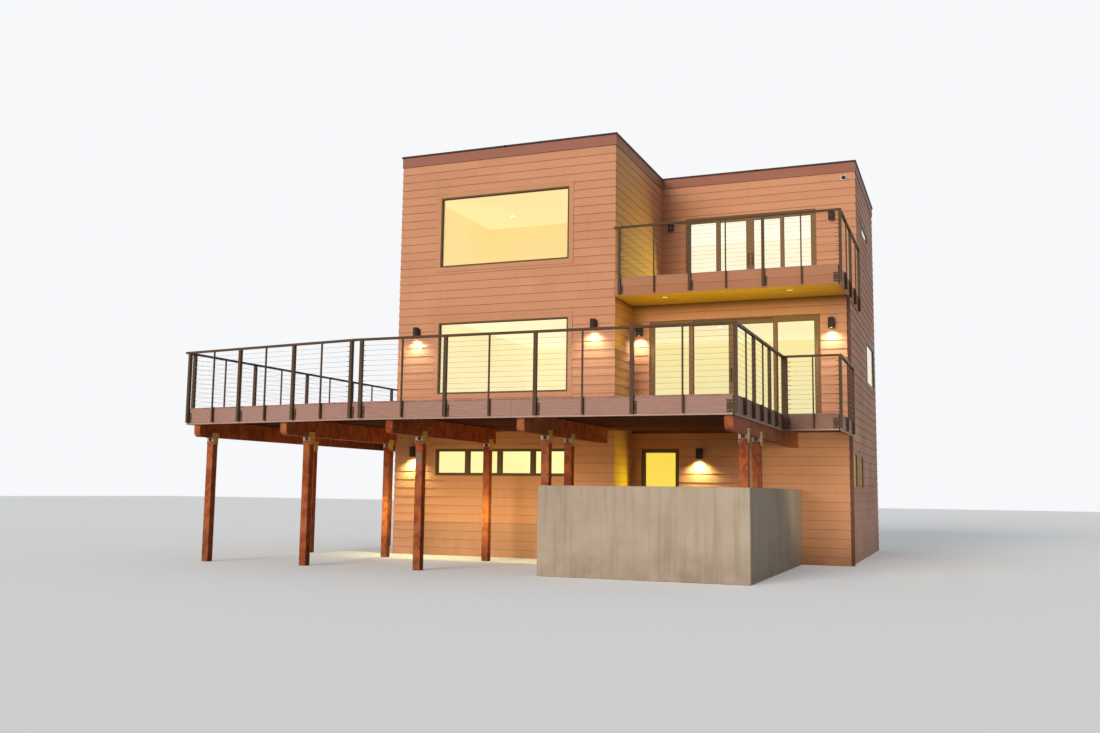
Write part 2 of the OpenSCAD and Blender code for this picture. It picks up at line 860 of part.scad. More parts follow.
module deck_joists() {
    low_z = beam_top_z;
    high_z = deck_z - board_thickness;
    front_y = -deck_reach + edge_thickness;
    rows = floor((deck_reach - edge_thickness - joist_thickness) / joist_spacing);
    side_rows = floor((deck_side_length - 2 * edge_thickness) / joist_spacing);
    color(timber) at_origin() {
        intersection() {
            union() {
                for (k = [0:1:rows])
                    translate([0, front_y + k * joist_spacing, 0])
                        span([-deck_left, 0, low_z], [deck_right - edge_thickness, joist_thickness, high_z]);
                span([left_x, -joist_thickness, low_z], [deck_right - edge_thickness, 0, high_z]);
                for (k = [1:1:side_rows])
                    span([-deck_left, k * joist_spacing - joist_thickness, low_z],
                         [left_x, k * joist_spacing, high_z]);
            }
            plate([
                left_front + [2 * edge_thickness, edge_thickness], bend_point + [0, edge_thickness],
                right_front + [0, edge_thickness], [deck_right, deck_side_length - edge_thickness],
                left_back + [2 * edge_thickness, -edge_thickness]
            ], low_z, high_z);
        }
        for (y = [-walkway_reach + edge_thickness, lower_recess - joist_thickness])
            span([0, y, low_z], [walkway_front[0] - edge_thickness, y + joist_thickness, high_z]);
    }
}

module deck_fascia() {
    color(deck_grey) at_origin()
        for (e = deck_edges)
            edge_board(e[0], e[1], deck_z - deck_edge_height, deck_z - board_thickness, edge_thickness);
}

// Front edge of the deck at a place across it
function front_edge_y(x) = x > -bend_left
    ? -deck_reach
    : -deck_reach + deck_left_setback * (-bend_left - x) / (deck_left - bend_left);

module deck_beams() {
    color(timber) at_origin()
        for (k = [0:1:len(beam_x) - 1]) {
            y0 = front_edge_y(beam_x[k]) + beam_nose_setback;
            length = beam_back_y[k] - y0;
            // Side view of the beam, with the lower front corner rounded
            translate([beam_x[k] - beam_width / 2, y0, beam_bottom_z])
                rotate([90, 0, 90]) linear_extrude(beam_width) difference() {
                    square([length, beam_depth]);
                    difference() {
                        square(nose_radius);
                        translate([nose_radius, nose_radius]) circle(nose_radius, $fn = 48);
                    }
                }
        }
}

module deck_posts() {
    color(timber) at_origin()
        for (p = post_places)
            span([beam_x[p[0]] - post_size / 2, p[1] - post_size / 2, p[2] ? concrete_z : 0],
                 [beam_x[p[0]] + post_size / 2, p[1] + post_size / 2, beam_bottom_z - post_gap]);
}

module post_caps() {
    half = post_size / 2;
    wide = half + cap_thickness;
    color(steel) at_origin()
        for (p = post_places)
            translate([beam_x[p[0]], p[1], beam_bottom_z]) {
                // Seat below the beam, and plate on the post
                for (z = [-cap_thickness, -post_gap])
                    translate([-half, -half, z]) cube([post_size, post_size, cap_thickness]);
                for (s = [-1, 1]) {
                    // Ear beside the beam, strap down the post, and flanges in the gap between them
                    translate([s > 0 ? beam_width / 2 : -wide, -cap_ear_length / 2, -cap_thickness])
                        cube([wide - beam_width / 2, cap_ear_length, cap_thickness + cap_ear_height]);
                    translate([s > 0 ? half : -wide, -half, -post_gap - cap_strap_length])
                        cube([cap_thickness, post_size, post_gap + cap_strap_length]);
                    for (y = [-half, half - cap_thickness])
                        translate([s > 0 ? half - cap_flange_width : -half, y, -post_gap])
                            cube([cap_flange_width, cap_thickness, post_gap]);
                }
            }
}

module front_rail_left() {
    color(bronze) at_origin()
        railing(front_rail_start, bend_point, deck_z, deck_edge_height, 6,
                start_inset = front_rail_overlap + front_corner_inset,
                end_inset = bend_post_inset, end = "plate");
}

module front_rail_right() {
    color(bronze) at_origin()
        railing(bend_point, right_front + [rail_reach, 0], deck_z, deck_edge_height, 8,
                start_inset = bend_post_inset, end_inset = corner_end_inset, end = "corner");
}

module left_side_rail() {
    color(bronze) at_origin()
        railing(side_rail_start, left_front + [0, side_rail_gap], deck_z, deck_edge_height, 10,
                start_inset = corner_start_inset, end_inset = side_corner_inset - side_rail_gap,
                first_post = 1);
}

module back_rail() {
    color(bronze) at_origin()
        railing([left_x, deck_side_length], left_back - [rail_reach, 0], deck_z, deck_edge_height, 2,
                end_inset = corner_end_inset, end = "corner");
}

module right_side_rail() {
    color(bronze) at_origin()
        railing(right_front + [0, rail_lap], walkway_inner, deck_z, deck_edge_height, 6,
                start_inset = corner_start_inset, first_post = 1);
}

module walkway_front_rail() {
    color(bronze) at_origin()
        railing(walkway_inner + [rail_reach, 0], walkway_front + [rail_reach, 0],
                deck_z, deck_edge_height, 2, end_inset = corner_end_inset, end = "corner");
}

module walkway_side_rail() {
    color(bronze) at_origin()
        railing(walkway_front + [0, rail_lap], walkway_back, deck_z, deck_edge_height, 2,
                start_inset = corner_start_inset, first_post = 1);
}

module concrete_post_wall() {
    half = concrete_thickness / 2;
    left_leg = beam_x[3];
    right_leg = beam_x[4];
    color(concrete) at_origin() {
        span([left_leg - half, front_post_y - half, 0], [right_leg + half, front_post_y + half, concrete_z]);
        span([left_leg - half, front_post_y - half, 0], [left_leg + half, 0, concrete_z]);
        span([right_leg - half, front_post_y - half, 0], [right_leg + half, lower_recess, concrete_z]);
    }
}

// Round downlight with its arm to the wall behind it
module wall_lamp() {
    cylinder(h = lamp_height, d = lamp_diameter, center = true, $fn = 48);
    span([-lamp_diameter / 4, 0, -lamp_diameter / 4], [lamp_diameter / 4, lamp_reach, lamp_diameter / 4]);
}

module wall_lamps() {
    deck_lamp_z = deck_z + lamp_rise;
    balcony_lamp_z = balcony_z + balcony_lamp_rise;
    patio_lamp_z = deck_z - patio_lamp_drop;
    places = [
        [left_x + tower_lamp_left, 0, deck_lamp_z], [-tower_lamp_right, 0, deck_lamp_z],
        [door_lamp_left, lower_recess, deck_lamp_z],
        [right_x - door_lamp_right, lower_recess, deck_lamp_z],
        [balcony_lamp_left, upper_recess, balcony_lamp_z],
        [right_x - balcony_lamp_right, upper_recess, balcony_lamp_z],
        [left_x + tower_lamp_left, 0, patio_lamp_z], [patio_lamp_offset, lower_recess, patio_lamp_z]
    ];
    color(bronze) at_origin()
        for (p = places)
            translate([p[0], p[1] - lamp_reach, p[2]]) wall_lamp();
}

module downspout() {
    y0 = lower_recess + downspout_gap;
    color(board_brown) at_origin()
        span([right_x, y0, 0], [right_x + downspout_size, y0 + downspout_size, balcony_bottom_z]);
}

module dome_camera() {
    color("white") at_origin()
        translate([right_x - camera_inset, upper_recess, roof_z - camera_drop]) rotate([90, 0, 0]) {
            cylinder(h = camera_base, d = camera_diameter, $fn = 48);
            translate([0, 0, camera_base]) intersection() {
                sphere(d = camera_diameter * 0.8, $fn = 48);
                cylinder(h = camera_diameter, d = camera_diameter, $fn = 48);
            }
        }
}

ground_slab();
middle_floor();
upper_floor();
roof_deck();
tower_front_wall();
tower_left_wall();
tower_side_wall_lower();
tower_side_wall_upper();
recess_wall_lower();
recess_wall_upper();
side_wall_lower();
side_wall_upper();
rear_wall();
upper_room_back_wall();
roof_fascia();
roof_coping();
window_trim();
front_window_frames();
front_window_glass();
sliding_door_frames();
sliding_door_glass();
wide_window_frames();
small_window_frames();
side_and_rear_glass();
balcony_joists();
balcony_boards();
balcony_fascia();
balcony_soffit();
balcony_front_rail();
balcony_side_rail();
deck_boards();
deck_joists();
deck_fascia();
deck_beams();
deck_posts();
post_caps();
front_rail_left();
front_rail_right();
left_side_rail();
back_rail();
right_side_rail();
walkway_front_rail();
walkway_side_rail();
concrete_post_wall();
wall_lamps();
downspout();
dome_camera();
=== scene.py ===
import math
import random

import bmesh
import bpy
from mathutils import Matrix, Vector


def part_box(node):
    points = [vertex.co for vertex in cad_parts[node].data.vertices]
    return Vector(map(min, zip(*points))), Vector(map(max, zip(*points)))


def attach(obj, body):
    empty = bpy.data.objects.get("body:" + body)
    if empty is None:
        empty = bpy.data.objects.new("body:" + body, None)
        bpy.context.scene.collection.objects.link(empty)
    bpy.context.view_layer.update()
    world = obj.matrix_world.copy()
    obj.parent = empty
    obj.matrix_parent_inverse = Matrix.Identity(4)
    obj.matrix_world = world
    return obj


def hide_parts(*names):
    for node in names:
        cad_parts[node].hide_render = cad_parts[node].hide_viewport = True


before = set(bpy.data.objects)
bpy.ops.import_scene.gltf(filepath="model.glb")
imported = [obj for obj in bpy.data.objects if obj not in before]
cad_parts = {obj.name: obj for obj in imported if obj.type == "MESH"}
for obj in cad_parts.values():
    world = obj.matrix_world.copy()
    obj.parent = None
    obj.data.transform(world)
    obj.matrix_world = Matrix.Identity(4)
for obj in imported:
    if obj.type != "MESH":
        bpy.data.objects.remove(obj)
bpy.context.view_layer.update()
print("frame loaded")


# Lines of the house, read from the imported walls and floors
def lowOf(node):
    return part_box(node)[0]


def highOf(node):
    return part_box(node)[1]


towerLeft = lowOf("tower_front_wall")[0]
towerRight = highOf("tower_front_wall")[0]
towerFront = lowOf("tower_front_wall")[1]
sideRight = highOf("recess_wall_lower")[0]
lowerFront = lowOf("recess_wall_lower")[1]
upperFront = lowOf("recess_wall_upper")[1]
houseBack = highOf("rear_wall")[1]
wallThickness = highOf("tower_front_wall")[1] - towerFront
bandBottom = lowOf("roof_fascia")[2]
groundTop = highOf("ground_slab")[2]
deckTop = highOf("deck_boards")[2]
deckUnder = lowOf("deck_boards")[2]
balconyTop = highOf("balcony_boards")[2]
soffitBottom = lowOf("balcony_soffit")[2]


def housePoint(x, y, z=0.0):
    # x from the tower's right side, y from its front, z from the ground
    return Vector((towerRight + x, towerFront + y, z))


# Mesh tools
def rectangle(x0, y0, x1, y1):
    return [(x0, y0), (x1, y0), (x1, y1), (x0, y1)]


def sidesOf(outline):
    return zip(outline, outline[1:] + outline[:1])


class Solids:
    # Gathers closed plates, tubes and turned shapes that become one piece
    def __init__(self, seed):
        self.points = []
        self.faces = []
        self.tones = []
        self.chance = random.Random(seed)

    def loft(self, loops, tone=None):
        # Matching loops of points joined into a closed shape, anticlockwise seen from the last one's side
        tone = self.chance.random() if tone is None else tone
        first = len(self.points)
        count = len(loops[0])
        last = first + (len(loops) - 1) * count
        for loop in loops:
            self.points += loop
        self.tones += [tone] * (count * len(loops))
        self.faces.append([first + k for k in reversed(range(count))])
        self.faces.append([last + k for k in range(count)])
        for ring in range(first, last, count):
            for k in range(count):
                after = (k + 1) % count
                self.faces.append([ring + k, ring + after, ring + count + after, ring + count + k])

    def plate(self, outline, low, high, tone=None):
        self.loft([[(x, y, z) for x, y in outline] for z in (low, high)], tone)

    def block(self, low, high, tone=None):
        self.plate(rectangle(low[0], low[1], high[0], high[1]), low[2], high[2], tone)

    def bar(self, across, near, far, u0, z0, u1, z1):
        # Block on a wall: depths on the wall's thin axis, then its span along the wall and its heights
        low, high = ((near, u0), (far, u1)) if across == 0 else ((u0, near), (u1, far))
        self.block((*low, z0), (*high, z1))

    def turned(self, base, axis, profile, sides=24):
        # Profile of (distance along the axis, radius), closed at both ends
        axis = Vector(axis).normalized()
        side = axis.orthogonal().normalized()
        other = axis.cross(side)
        turns = [2 * math.pi * k / sides for k in range(sides)]
        spokes = [side * math.cos(turn) + other * math.sin(turn) for turn in turns]
        middles = [(Vector(base) + axis * along, radius) for along, radius in profile]
        self.loft([[middle + spoke * radius for spoke in spokes] for middle, radius in middles])

    def tube(self, start, end, radius, sides):
        run = Vector(end) - Vector(start)
        self.turned(start, run, [(0, radius), (run.length, radius)], sides)

    def bolt(self, base, axis, size):
        # Washer, hexagon head and the end of the shank
        washer = 0.12 * size
        self.turned(base, axis, [(0, size), (washer, size)], 16)
        self.turned(Vector(base) + Vector(axis) * washer, axis,
                    [(0, 0.72 * size), (0.4 * size, 0.72 * size), (0.5 * size, 0.6 * size)], 6)

    def piece(self, name, material, slot, bevel=0.0, smooth=False):
        mesh = bpy.data.meshes.new(name)
        mesh.from_pydata([tuple(p) for p in self.points], [], self.faces)
        mesh.materials.append(material)
        layer = mesh.attributes.new("boardTone", "FLOAT", "POINT")
        layer.data.foreach_set("value", self.tones)
        mesh.validate()
        mesh.update()
        if smooth:
            mesh.shade_smooth()
        made = bpy.data.objects.new(name, mesh)
        bpy.context.collection.objects.link(made)
        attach(made, "root")
        if bevel:
            soften(made, bevel)
        return made


def soften(piece, width):
    bevel = piece.modifiers.new("softEdges", "BEVEL")
    bevel.width = width
    bevel.segments = 2
    bevel.limit_method = "ANGLE"
    bevel.angle_limit = math.radians(40)


def solidBoxes(node):
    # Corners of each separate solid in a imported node, in order of x, then y, then z
    shape = bmesh.new()
    shape.from_mesh(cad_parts[node].data)
    bmesh.ops.remove_doubles(shape, verts=shape.verts, dist=0.00002)
    left = set(shape.verts)
    boxes = []
    while left:
        stack = [left.pop()]
        found = list(stack)
        while stack:
            near = {vert for edge in stack.pop().link_edges for vert in edge.verts} & left
            left -= near
            stack += near
            found += near
        boxes.append(tuple([pick(v.co[axis] for v in found) for axis in range(3)] for pick in (min, max)))
    shape.free()
    return sorted(boxes)


# Shader tools
def place(tree, kind, inputs=None, **settings):
    node = tree.nodes.new(kind)
    for key, value in settings.items():
        setattr(node, key, value)
    return fill(node, inputs or {})


def fill(node, inputs):
    for name, value in inputs.items():
        socket = node.inputs[name]
        if isinstance(value, Wire):
            value.tree.links.new(value.socket, socket)
        elif value is not None:
            socket.default_value = (*value, 1.0) if socket.type == "RGBA" else value
    return node


class Wire:
    # A value or colour on its way through a node tree, so that masks are written as plain sums
    def __init__(self, tree, socket):
        self.tree = tree
        self.socket = socket

    def into(self, kind, inputs, output=0, **settings):
        node = place(self.tree, "ShaderNode" + kind, inputs, **settings)
        return Wire(self.tree, node.outputs[output])

    def math(self, operation, other=None, clamp=False):
        return self.into("Math", {0: self, 1: other}, operation=operation, use_clamp=clamp)

    def __add__(self, other):
        return self.math("ADD", other)

    def __sub__(self, other):
        return self.math("SUBTRACT", other)

    def __mul__(self, other):
        return self.math("MULTIPLY", other)

    def __truediv__(self, other):
        return self.math("DIVIDE", other)

    def vector(self, operation, other):
        return self.into("VectorMath", {0: self, 1: other}, operation=operation)

    def part(self, output, kind="XYZ"):
        return self.into("Separate" + kind, {0: self}, output)

    def ranged(self, low, high, outLow=0.0, outHigh=1.0):
        span = {"Value": self, "From Min": low, "From Max": high, "To Min": outLow, "To Max": outHigh}
        return self.into("MapRange", span, clamp=True)

    def mixed(self, first, second):
        # The first colour where this mask is 0, the second where it is 1
        return self.into("Mix", {"Factor": self, 6: first, 7: second}, 2, data_type="RGBA")

    def tinted(self, colour, amount):
        return amount.mixed(self, colour)

    def shades(self, *stops):
        node = place(self.tree, "ShaderNodeValToRGB", {0: self})
        ramp = node.color_ramp
        while len(ramp.elements) < len(stops):
            ramp.elements.new(0.5)
        for element, (at, colour) in zip(ramp.elements, stops):
            element.position = at
            element.color = (*colour, 1.0)
        return Wire(self.tree, node.outputs[0])


def noise(where, scale, detail, rough, distortion=0.0):
    inputs = {"Vector": where, "Scale": scale, "Detail": detail, "Roughness": rough, "Distortion": distortion}
    return where.into("TexNoise", inputs, "Fac")


def nodeGroup(name, inputs, make):
    # inputs: names and starting values; make turns their wires into the outputs by name
    group = bpy.data.node_groups.new(name, "ShaderNodeTree")
    for label, value in inputs.items():
        kind = "NodeSocketFloat" if isinstance(value, float) else "NodeSocketVector"
        group.interface.new_socket(label, in_out="INPUT", socket_type=kind).default_value = value
    inside = place(group, "NodeGroupInput")
    results = make(*[Wire(group, inside.outputs[label]) for label in inputs])
    for label in results:
        group.interface.new_socket(label, in_out="OUTPUT", socket_type="NodeSocketFloat")
    place(group, "NodeGroupOutput", results)
    return group


def grainOf(vector, stretch, shift):
    # Long fibres, growth rings, small knots and drying cracks of a board or timber
    vector = vector.vector("MULTIPLY", stretch).vector("ADD", shift * 37.0)
    rings = {"Vector": vector, "Scale": 1.3, "Distortion": 7.0, "Detail": 3.0}
    return {
        "Grain": noise(vector, 9.0, 6.0, 0.62, 0.3).ranged(0.3, 0.7),
        "Rings": vector.into("TexWave", rings, "Fac", wave_type="RINGS", rings_direction="SPHERICAL"),
        "Knots": vector.into("TexVoronoi", {"Vector": vector, "Scale": 0.55}, "Distance").ranged(0.16, 0.05),
        "Cracks": noise(vector, 3.0, 8.0, 0.7, 0.8).ranged(0.36, 0.30),
    }


def weatherOn(vector):
    # Rain streaks, blotches and the splashed band above the ground
    return {
        "Streaks": noise(vector.vector("MULTIPLY", (9.0, 9.0, 0.5)), 1.0, 5.0, 0.6).ranged(0.48, 0.72),
        "Blotches": noise(vector, 0.9, 5.0, 0.6, 0.4).ranged(0.32, 0.68),
        "Splash": vector.part("Z").ranged(0.75, 0.0) * noise(vector, 3.2, 5.0, 0.65).ranged(0.3, 0.62),
    }


def specklesOf(vector, size):
    # Fine grit of cast, coated or galvanised surfaces
    cells = vector.into("TexVoronoi", {"Vector": vector, "Scale": size}, "Color")
    return {"Grit": noise(vector, size, 4.0, 0.7), "Spangle": cells.part(0, "Color")}


origin = (0.0, 0.0, 0.0)
woodGrain = nodeGroup("woodGrain", {"Vector": origin, "Stretch": (1.0, 1.0, 1.0), "Shift": 0.0}, grainOf)
weathering = nodeGroup("weathering", {"Vector": origin}, weatherOn)
speckle = nodeGroup("speckle", {"Vector": origin, "Size": 60.0}, specklesOf)


def newMaterial(name):
    material = bpy.data.materials.new(name)
    material.use_nodes = True
    tree = material.node_tree
    where = Wire(tree, place(tree, "ShaderNodeTexCoord").outputs["Object"])
    return material, tree.nodes["Principled BSDF"], where


def useGroup(group, where, **inputs):
    node = place(where.tree, "ShaderNodeGroup", {"Vector": where, **inputs}, node_tree=group)
    return {socket.name: Wire(where.tree, socket) for socket in node.outputs}


def coat(surface, colour, rough, gloss=0.5):
    fill(surface, {"Base Color": colour, "Roughness": rough, "Specular IOR Level": gloss})


def bump(surface, height, strength, distance):
    relief = {"Height": height, "Strength": strength, "Distance": distance}
    fill(surface, {"Normal": height.into("Bump", relief, "Normal")})


def boardTone(where):
    return where.into("Attribute", {}, "Fac", attribute_name="boardTone")


def facing(where, axis):
    # How far the surface looks along an axis, from -1 to 1
    return where.into("NewGeometry", {}, "Normal").part(axis)


sidingBoards = {
    "exposure": 0.180,       # visible height of a board
    "buttDepth": 0.017,      # how far its lower edge stands off the wall
    "topDepth": 0.007, "back": -0.001,
    "boardLength": 3.66, "shortest": 0.05, "firstJoint": 0.4, "leastCourse": 0.002,
    "jointGap": 0.002, "gapAtTrim": 0.003, "gapAtFrame": 0.001, "trimReach": 0.05, "frameReach": 0.03,
}
# shade: colour of the painted shade under each board's edge and at the top of walls under a ceiling; lap,
# lapReach, underShade, underReach: how strong and how far it reaches
sidingLook = {
    "light": (0.60, 0.288, 0.160), "middle": (0.56, 0.262, 0.143), "dark": (0.51, 0.233, 0.124),
    "stain": (0.34, 0.16, 0.085), "chalk": (0.64, 0.33, 0.185), "shade": (0.13, 0.050, 0.020),
    "lap": 0.52, "lapReach": 0.10, "underShade": 0.85, "underReach": 0.16,
    "toneShare": 0.36, "chalking": 0.14, "streaks": 0.09, "splash": 0.55, "rough": (0.52, 0.72),
}


def sidingMaterial(name, paintedLapShade=False, under=None):
    # Painted shade: the first flag darkens a band under each board's lower edge; under is the height of a
    # ceiling whose shade is painted onto the top of the wall below it
    look = sidingLook
    material, surface, where = newMaterial(name)
    worn = useGroup(weathering, where)
    tone = boardTone(where)
    grain = useGroup(woodGrain, where, Stretch=(1.2, 1.2, 22.0), Shift=tone)["Grain"]
    varied = tone * look["toneShare"] + worn["Blotches"] * (1 - look["toneShare"])
    paint = varied.shades((0.0, look["dark"]), (0.5, look["middle"]), (1.0, look["light"]))
    paint = paint.tinted(look["chalk"], grain * look["chalking"])
    paint = paint.tinted(look["stain"], worn["Streaks"] * look["streaks"])
    paint = paint.tinted(look["stain"], worn["Splash"] * look["splash"])
    height = where.part("Z")
    # Painted shade in a band just under each board's lower edge
    if paintedLapShade:
        course = ((height - bandBottom) / -sidingBoards["exposure"]).math("FRACT")
        paint = paint.tinted(look["shade"], course.ranged(look["lapReach"], 0.01) * look["lap"])
    # Painted shade at the top of a wall under a ceiling
    if under is not None:
        near = height.ranged(under - look["underReach"], under)
        paint = paint.tinted(look["shade"], near * look["underShade"])
    coat(surface, paint, worn["Blotches"].ranged(0.0, 1.0, *look["rough"]), 0.25)
    bump(surface, grain, 0.25, 0.003)
    return material


def boardMaterial(name, look, stretch, rough=0.54):
    material, surface, where = newMaterial(name)
    worn = useGroup(weathering, where)
    tone = boardTone(where)
    grain = useGroup(woodGrain, where, Stretch=stretch, Shift=tone)
    cracks = grain["Cracks"] * look["cracks"]
    wood = (tone * 0.5 + grain["Grain"] * 0.5).shades(
        (0.0, look["dark"]), (0.55, look["middle"]), (1.0, look["light"]))
    wood = wood.tinted(look["dark"], grain["Rings"] * look["rings"])
    wood = wood.tinted(look["deep"], grain["Knots"] * look["knots"]).tinted(look["deep"], cracks)
    if "patches" in look:
        stained = noise(where, 6.5, 5.0, 0.6, 0.6).ranged(0.47, 0.56)
        wood = wood.tinted(look["stained"], stained * look["patches"])
    wood = wood.tinted(look["grey"], worn["Blotches"] * look["bleach"])
    wood = wood.tinted(look["deep"], worn["Splash"] * 0.6)
    if "under" in look:    # faces that look down are darker
        wood = wood.tinted(look["under"], facing(where, "Z").ranged(-0.5, -0.8))
    coat(surface, wood, grain["Grain"].ranged(0.0, 1.0, rough, rough + 0.20), look.get("gloss", 0.3))
    bump(surface, grain["Grain"] - cracks * 2.0, 0.35, 0.004)
    return material


# Coated dark metal, unless a look below says otherwise
darkMetal = {
    "metal": 0.1, "rough": 0.5, "dust": 0.18, "dirt": (0.15, 0.11, 0.08), "size": 260.0, "spangle": 0.25,
    "sheen": 0.25,
}


def metalMaterial(name, colour, bright, **changes):
    look = {**darkMetal, **changes}
    material, surface, where = newMaterial(name)
    fine = useGroup(speckle, where, Size=look["size"])
    metal = (fine["Spangle"] * look["spangle"]).mixed(colour, bright)
    if "side" in look:    # broad sides get painted golden lamplight, edges and flanges keep the paler steel
        metal = metal.tinted(look["side"], facing(where, "X").math("ABSOLUTE").ranged(0.5, 0.8))
    dust = useGroup(weathering, where)["Streaks"] * look["dust"]
    gloss = fine["Grit"] * 0.14 + (look["rough"] - 0.07)
    coat(surface, metal.tinted(look["dirt"], dust), gloss.math("ADD", dust * 0.4, clamp=True), look["sheen"])
    surface.inputs["Metallic"].default_value = look["metal"]
    bump(surface, fine["Grit"], 0.12, 0.001)
    return material


def concreteMaterial():
    # form: height of the form boards, which leave their seams in the cast wall
    look = {
        "light": (0.52, 0.42, 0.315), "dark": (0.37, 0.285, 0.205), "stain": (0.21, 0.15, 0.10),
        "form": 0.3, "seam": 0.5, "streaks": 0.4, "splash": 0.5, "rough": (0.72, 0.92),
    }
    material, surface, where = newMaterial("castConcrete")
    worn = useGroup(weathering, where)
    grit = useGroup(speckle, where, Size=55.0)["Grit"]
    tone = worn["Blotches"] * 0.6 + grit * 0.4
    lift = (where.part("Z") / look["form"]).math("FRACT")
    seam = (lift - 0.5).math("ABSOLUTE").ranged(0.485, 0.5)
    cast = tone.shades((0.1, look["dark"]), (0.9, look["light"]))
    cast = cast.tinted(look["dark"], seam * look["seam"])
    cast = cast.tinted(look["stain"], worn["Streaks"] * look["streaks"])
    cast = cast.tinted(look["stain"], worn["Splash"] * look["splash"])
    coat(surface, cast, tone.ranged(0.0, 1.0, *look["rough"]))
    bump(surface, grit - seam, 0.4, 0.004)
    return material


def litPlasterMaterial(name, glow, shade, strength):
    # Inner walls of the lit rooms, whose light is painted in as a glow of the walls themselves: warmer in
    # patches and towards the ceiling of their storey, and a quarter stronger on ceilings and floors than on
    # walls
    material, surface, where = newMaterial(name)
    patch = noise(where, 0.55, 3.0, 0.5)
    grit = useGroup(speckle, where, Size=90.0)["Grit"]
    # Painted light: the glow turns warmer in patches and towards the ceiling
    rise = ((where.part("Z") - deckTop) / (balconyTop - deckTop)).math("FRACT")
    upright = facing(where, "Z").math("ABSOLUTE").ranged(0.8, 0.4)
    warm = (rise.ranged(0.15, 0.85) * upright * 0.8).math("ADD", patch * 0.25, clamp=True)
    paint = patch.ranged(0.35, 0.65).mixed((0.52, 0.50, 0.45), (0.47, 0.44, 0.38))
    coat(surface, paint, grit.ranged(0.0, 1.0, 0.7, 0.85), 0.2)
    # The painted glow is a quarter stronger on faces that look up or down
    brightness = upright.ranged(0.0, 1.0, strength * 1.25, strength)
    fill(surface, {"Emission Color": warm.mixed(glow, shade), "Emission Strength": brightness})
    bump(surface, grit, 0.1, 0.001)
    return material


def glassMaterial():
    material, surface, where = newMaterial("windowGlass")
    # Salt haze that the sea wind leaves
    coat(surface, (0.97, 0.98, 0.96), noise(where, 2.2, 5.0, 0.6).ranged(0.55, 0.9, 0.0, 0.06))
    surface.inputs["Transmission Weight"].default_value = 1.0
    surface.inputs["IOR"].default_value = 1.25
    return material


def lampGlowMaterial(name, colour, strength):
    material, surface, where = newMaterial(name)
    tint = noise(where, 60.0, 2.0, 0.5).ranged(0.3, 0.7).mixed(colour, (1.0, 0.93, 0.78))
    coat(surface, tint, 0.4)
    fill(surface, {"Emission Color": tint, "Emission Strength": strength})
    return material


def rubberMaterial():
    material, surface, where = newMaterial("glazingRubber")
    grit = useGroup(speckle, where, Size=140.0)["Grit"]
    coat(surface, grit.mixed((0.012, 0.012, 0.012), (0.035, 0.033, 0.031)), grit.ranged(0.0, 1.0, 0.55, 0.8))
    return material


def membraneMaterial():
    # Roofing sheets a metre wide, with a dark lap along each
    material, surface, where = newMaterial("roofMembrane")
    grit = useGroup(speckle, where, Size=70.0)["Grit"]
    seam = where.part("X").math("FRACT").ranged(0.975, 0.99)
    blotches = useGroup(weathering, where)["Blotches"]
    sheet = blotches.shades((0.0, (0.24, 0.23, 0.22)), (1.0, (0.36, 0.35, 0.33)))
    coat(surface, sheet.tinted((0.12, 0.115, 0.11), seam * 0.5), grit.ranged(0.0, 1.0, 0.75, 0.95))
    bump(surface, grit + seam, 0.3, 0.003)
    return material


deckLook = {
    "light": (0.46, 0.258, 0.203), "middle": (0.34, 0.183, 0.140), "dark": (0.20, 0.098, 0.072),
    "deep": (0.10, 0.048, 0.035), "grey": (0.38, 0.26, 0.22), "under": (0.10, 0.045, 0.028),
    "rings": 0.30, "knots": 0.0, "cracks": 0.32, "bleach": 0.26,
}
timberLook = {
    "light": (0.66, 0.215, 0.066), "middle": (0.51, 0.135, 0.038), "dark": (0.30, 0.064, 0.018),
    "deep": (0.065, 0.020, 0.010), "grey": (0.50, 0.22, 0.11), "stained": (0.18, 0.032, 0.012),
    "rings": 0.30, "knots": 0.75, "cracks": 0.80, "bleach": 0.30, "patches": 0.78, "gloss": 0.12,
}
joistLook = {
    "light": (0.27, 0.105, 0.050), "middle": (0.20, 0.070, 0.032), "dark": (0.11, 0.036, 0.017),
    "deep": (0.04, 0.014, 0.008), "grey": (0.25, 0.12, 0.07),
    "rings": 0.30, "knots": 0.60, "cracks": 0.60, "bleach": 0.25, "gloss": 0.15,
}
roofBoardLook = {
    "light": (0.42, 0.178, 0.120), "middle": (0.355, 0.143, 0.095), "dark": (0.265, 0.102, 0.066),
    "deep": (0.12, 0.048, 0.033), "grey": (0.40, 0.205, 0.155),
    "rings": 0.12, "knots": 0.15, "cracks": 0.25, "bleach": 0.20,
}
balconyEdgeLook = {
    "light": (0.46, 0.205, 0.108), "middle": (0.41, 0.175, 0.088), "dark": (0.33, 0.132, 0.066),
    "deep": (0.14, 0.06, 0.032), "grey": (0.45, 0.24, 0.145),
    "rings": 0.10, "knots": 0.0, "cracks": 0.08, "bleach": 0.20,
}
# The soffit boards' own paint with the yellow of the door light from below painted in, so it has hardly any
# blue
soffitLampYellowLook = {
    "light": (0.60, 0.33, 0.060), "middle": (0.55, 0.29, 0.048), "dark": (0.47, 0.235, 0.038),
    "deep": (0.20, 0.08, 0.02), "grey": (0.56, 0.32, 0.10),
    "rings": 0.12, "knots": 0.0, "cracks": 0.05, "bleach": 0.20,
}
stripLook = {
    "light": (0.53, 0.35, 0.28), "middle": (0.46, 0.285, 0.225), "dark": (0.36, 0.215, 0.165),
    "deep": (0.18, 0.10, 0.075), "grey": (0.48, 0.36, 0.31),
    "rings": 0.08, "knots": 0.0, "cracks": 0.06, "bleach": 0.30,
}
floorLook = {
    "light": (0.50, 0.31, 0.15), "middle": (0.42, 0.24, 0.11), "dark": (0.31, 0.165, 0.07),
    "deep": (0.12, 0.06, 0.03), "grey": (0.45, 0.30, 0.17),
    "rings": 0.20, "knots": 0.25, "cracks": 0.05, "bleach": 0.10,
}
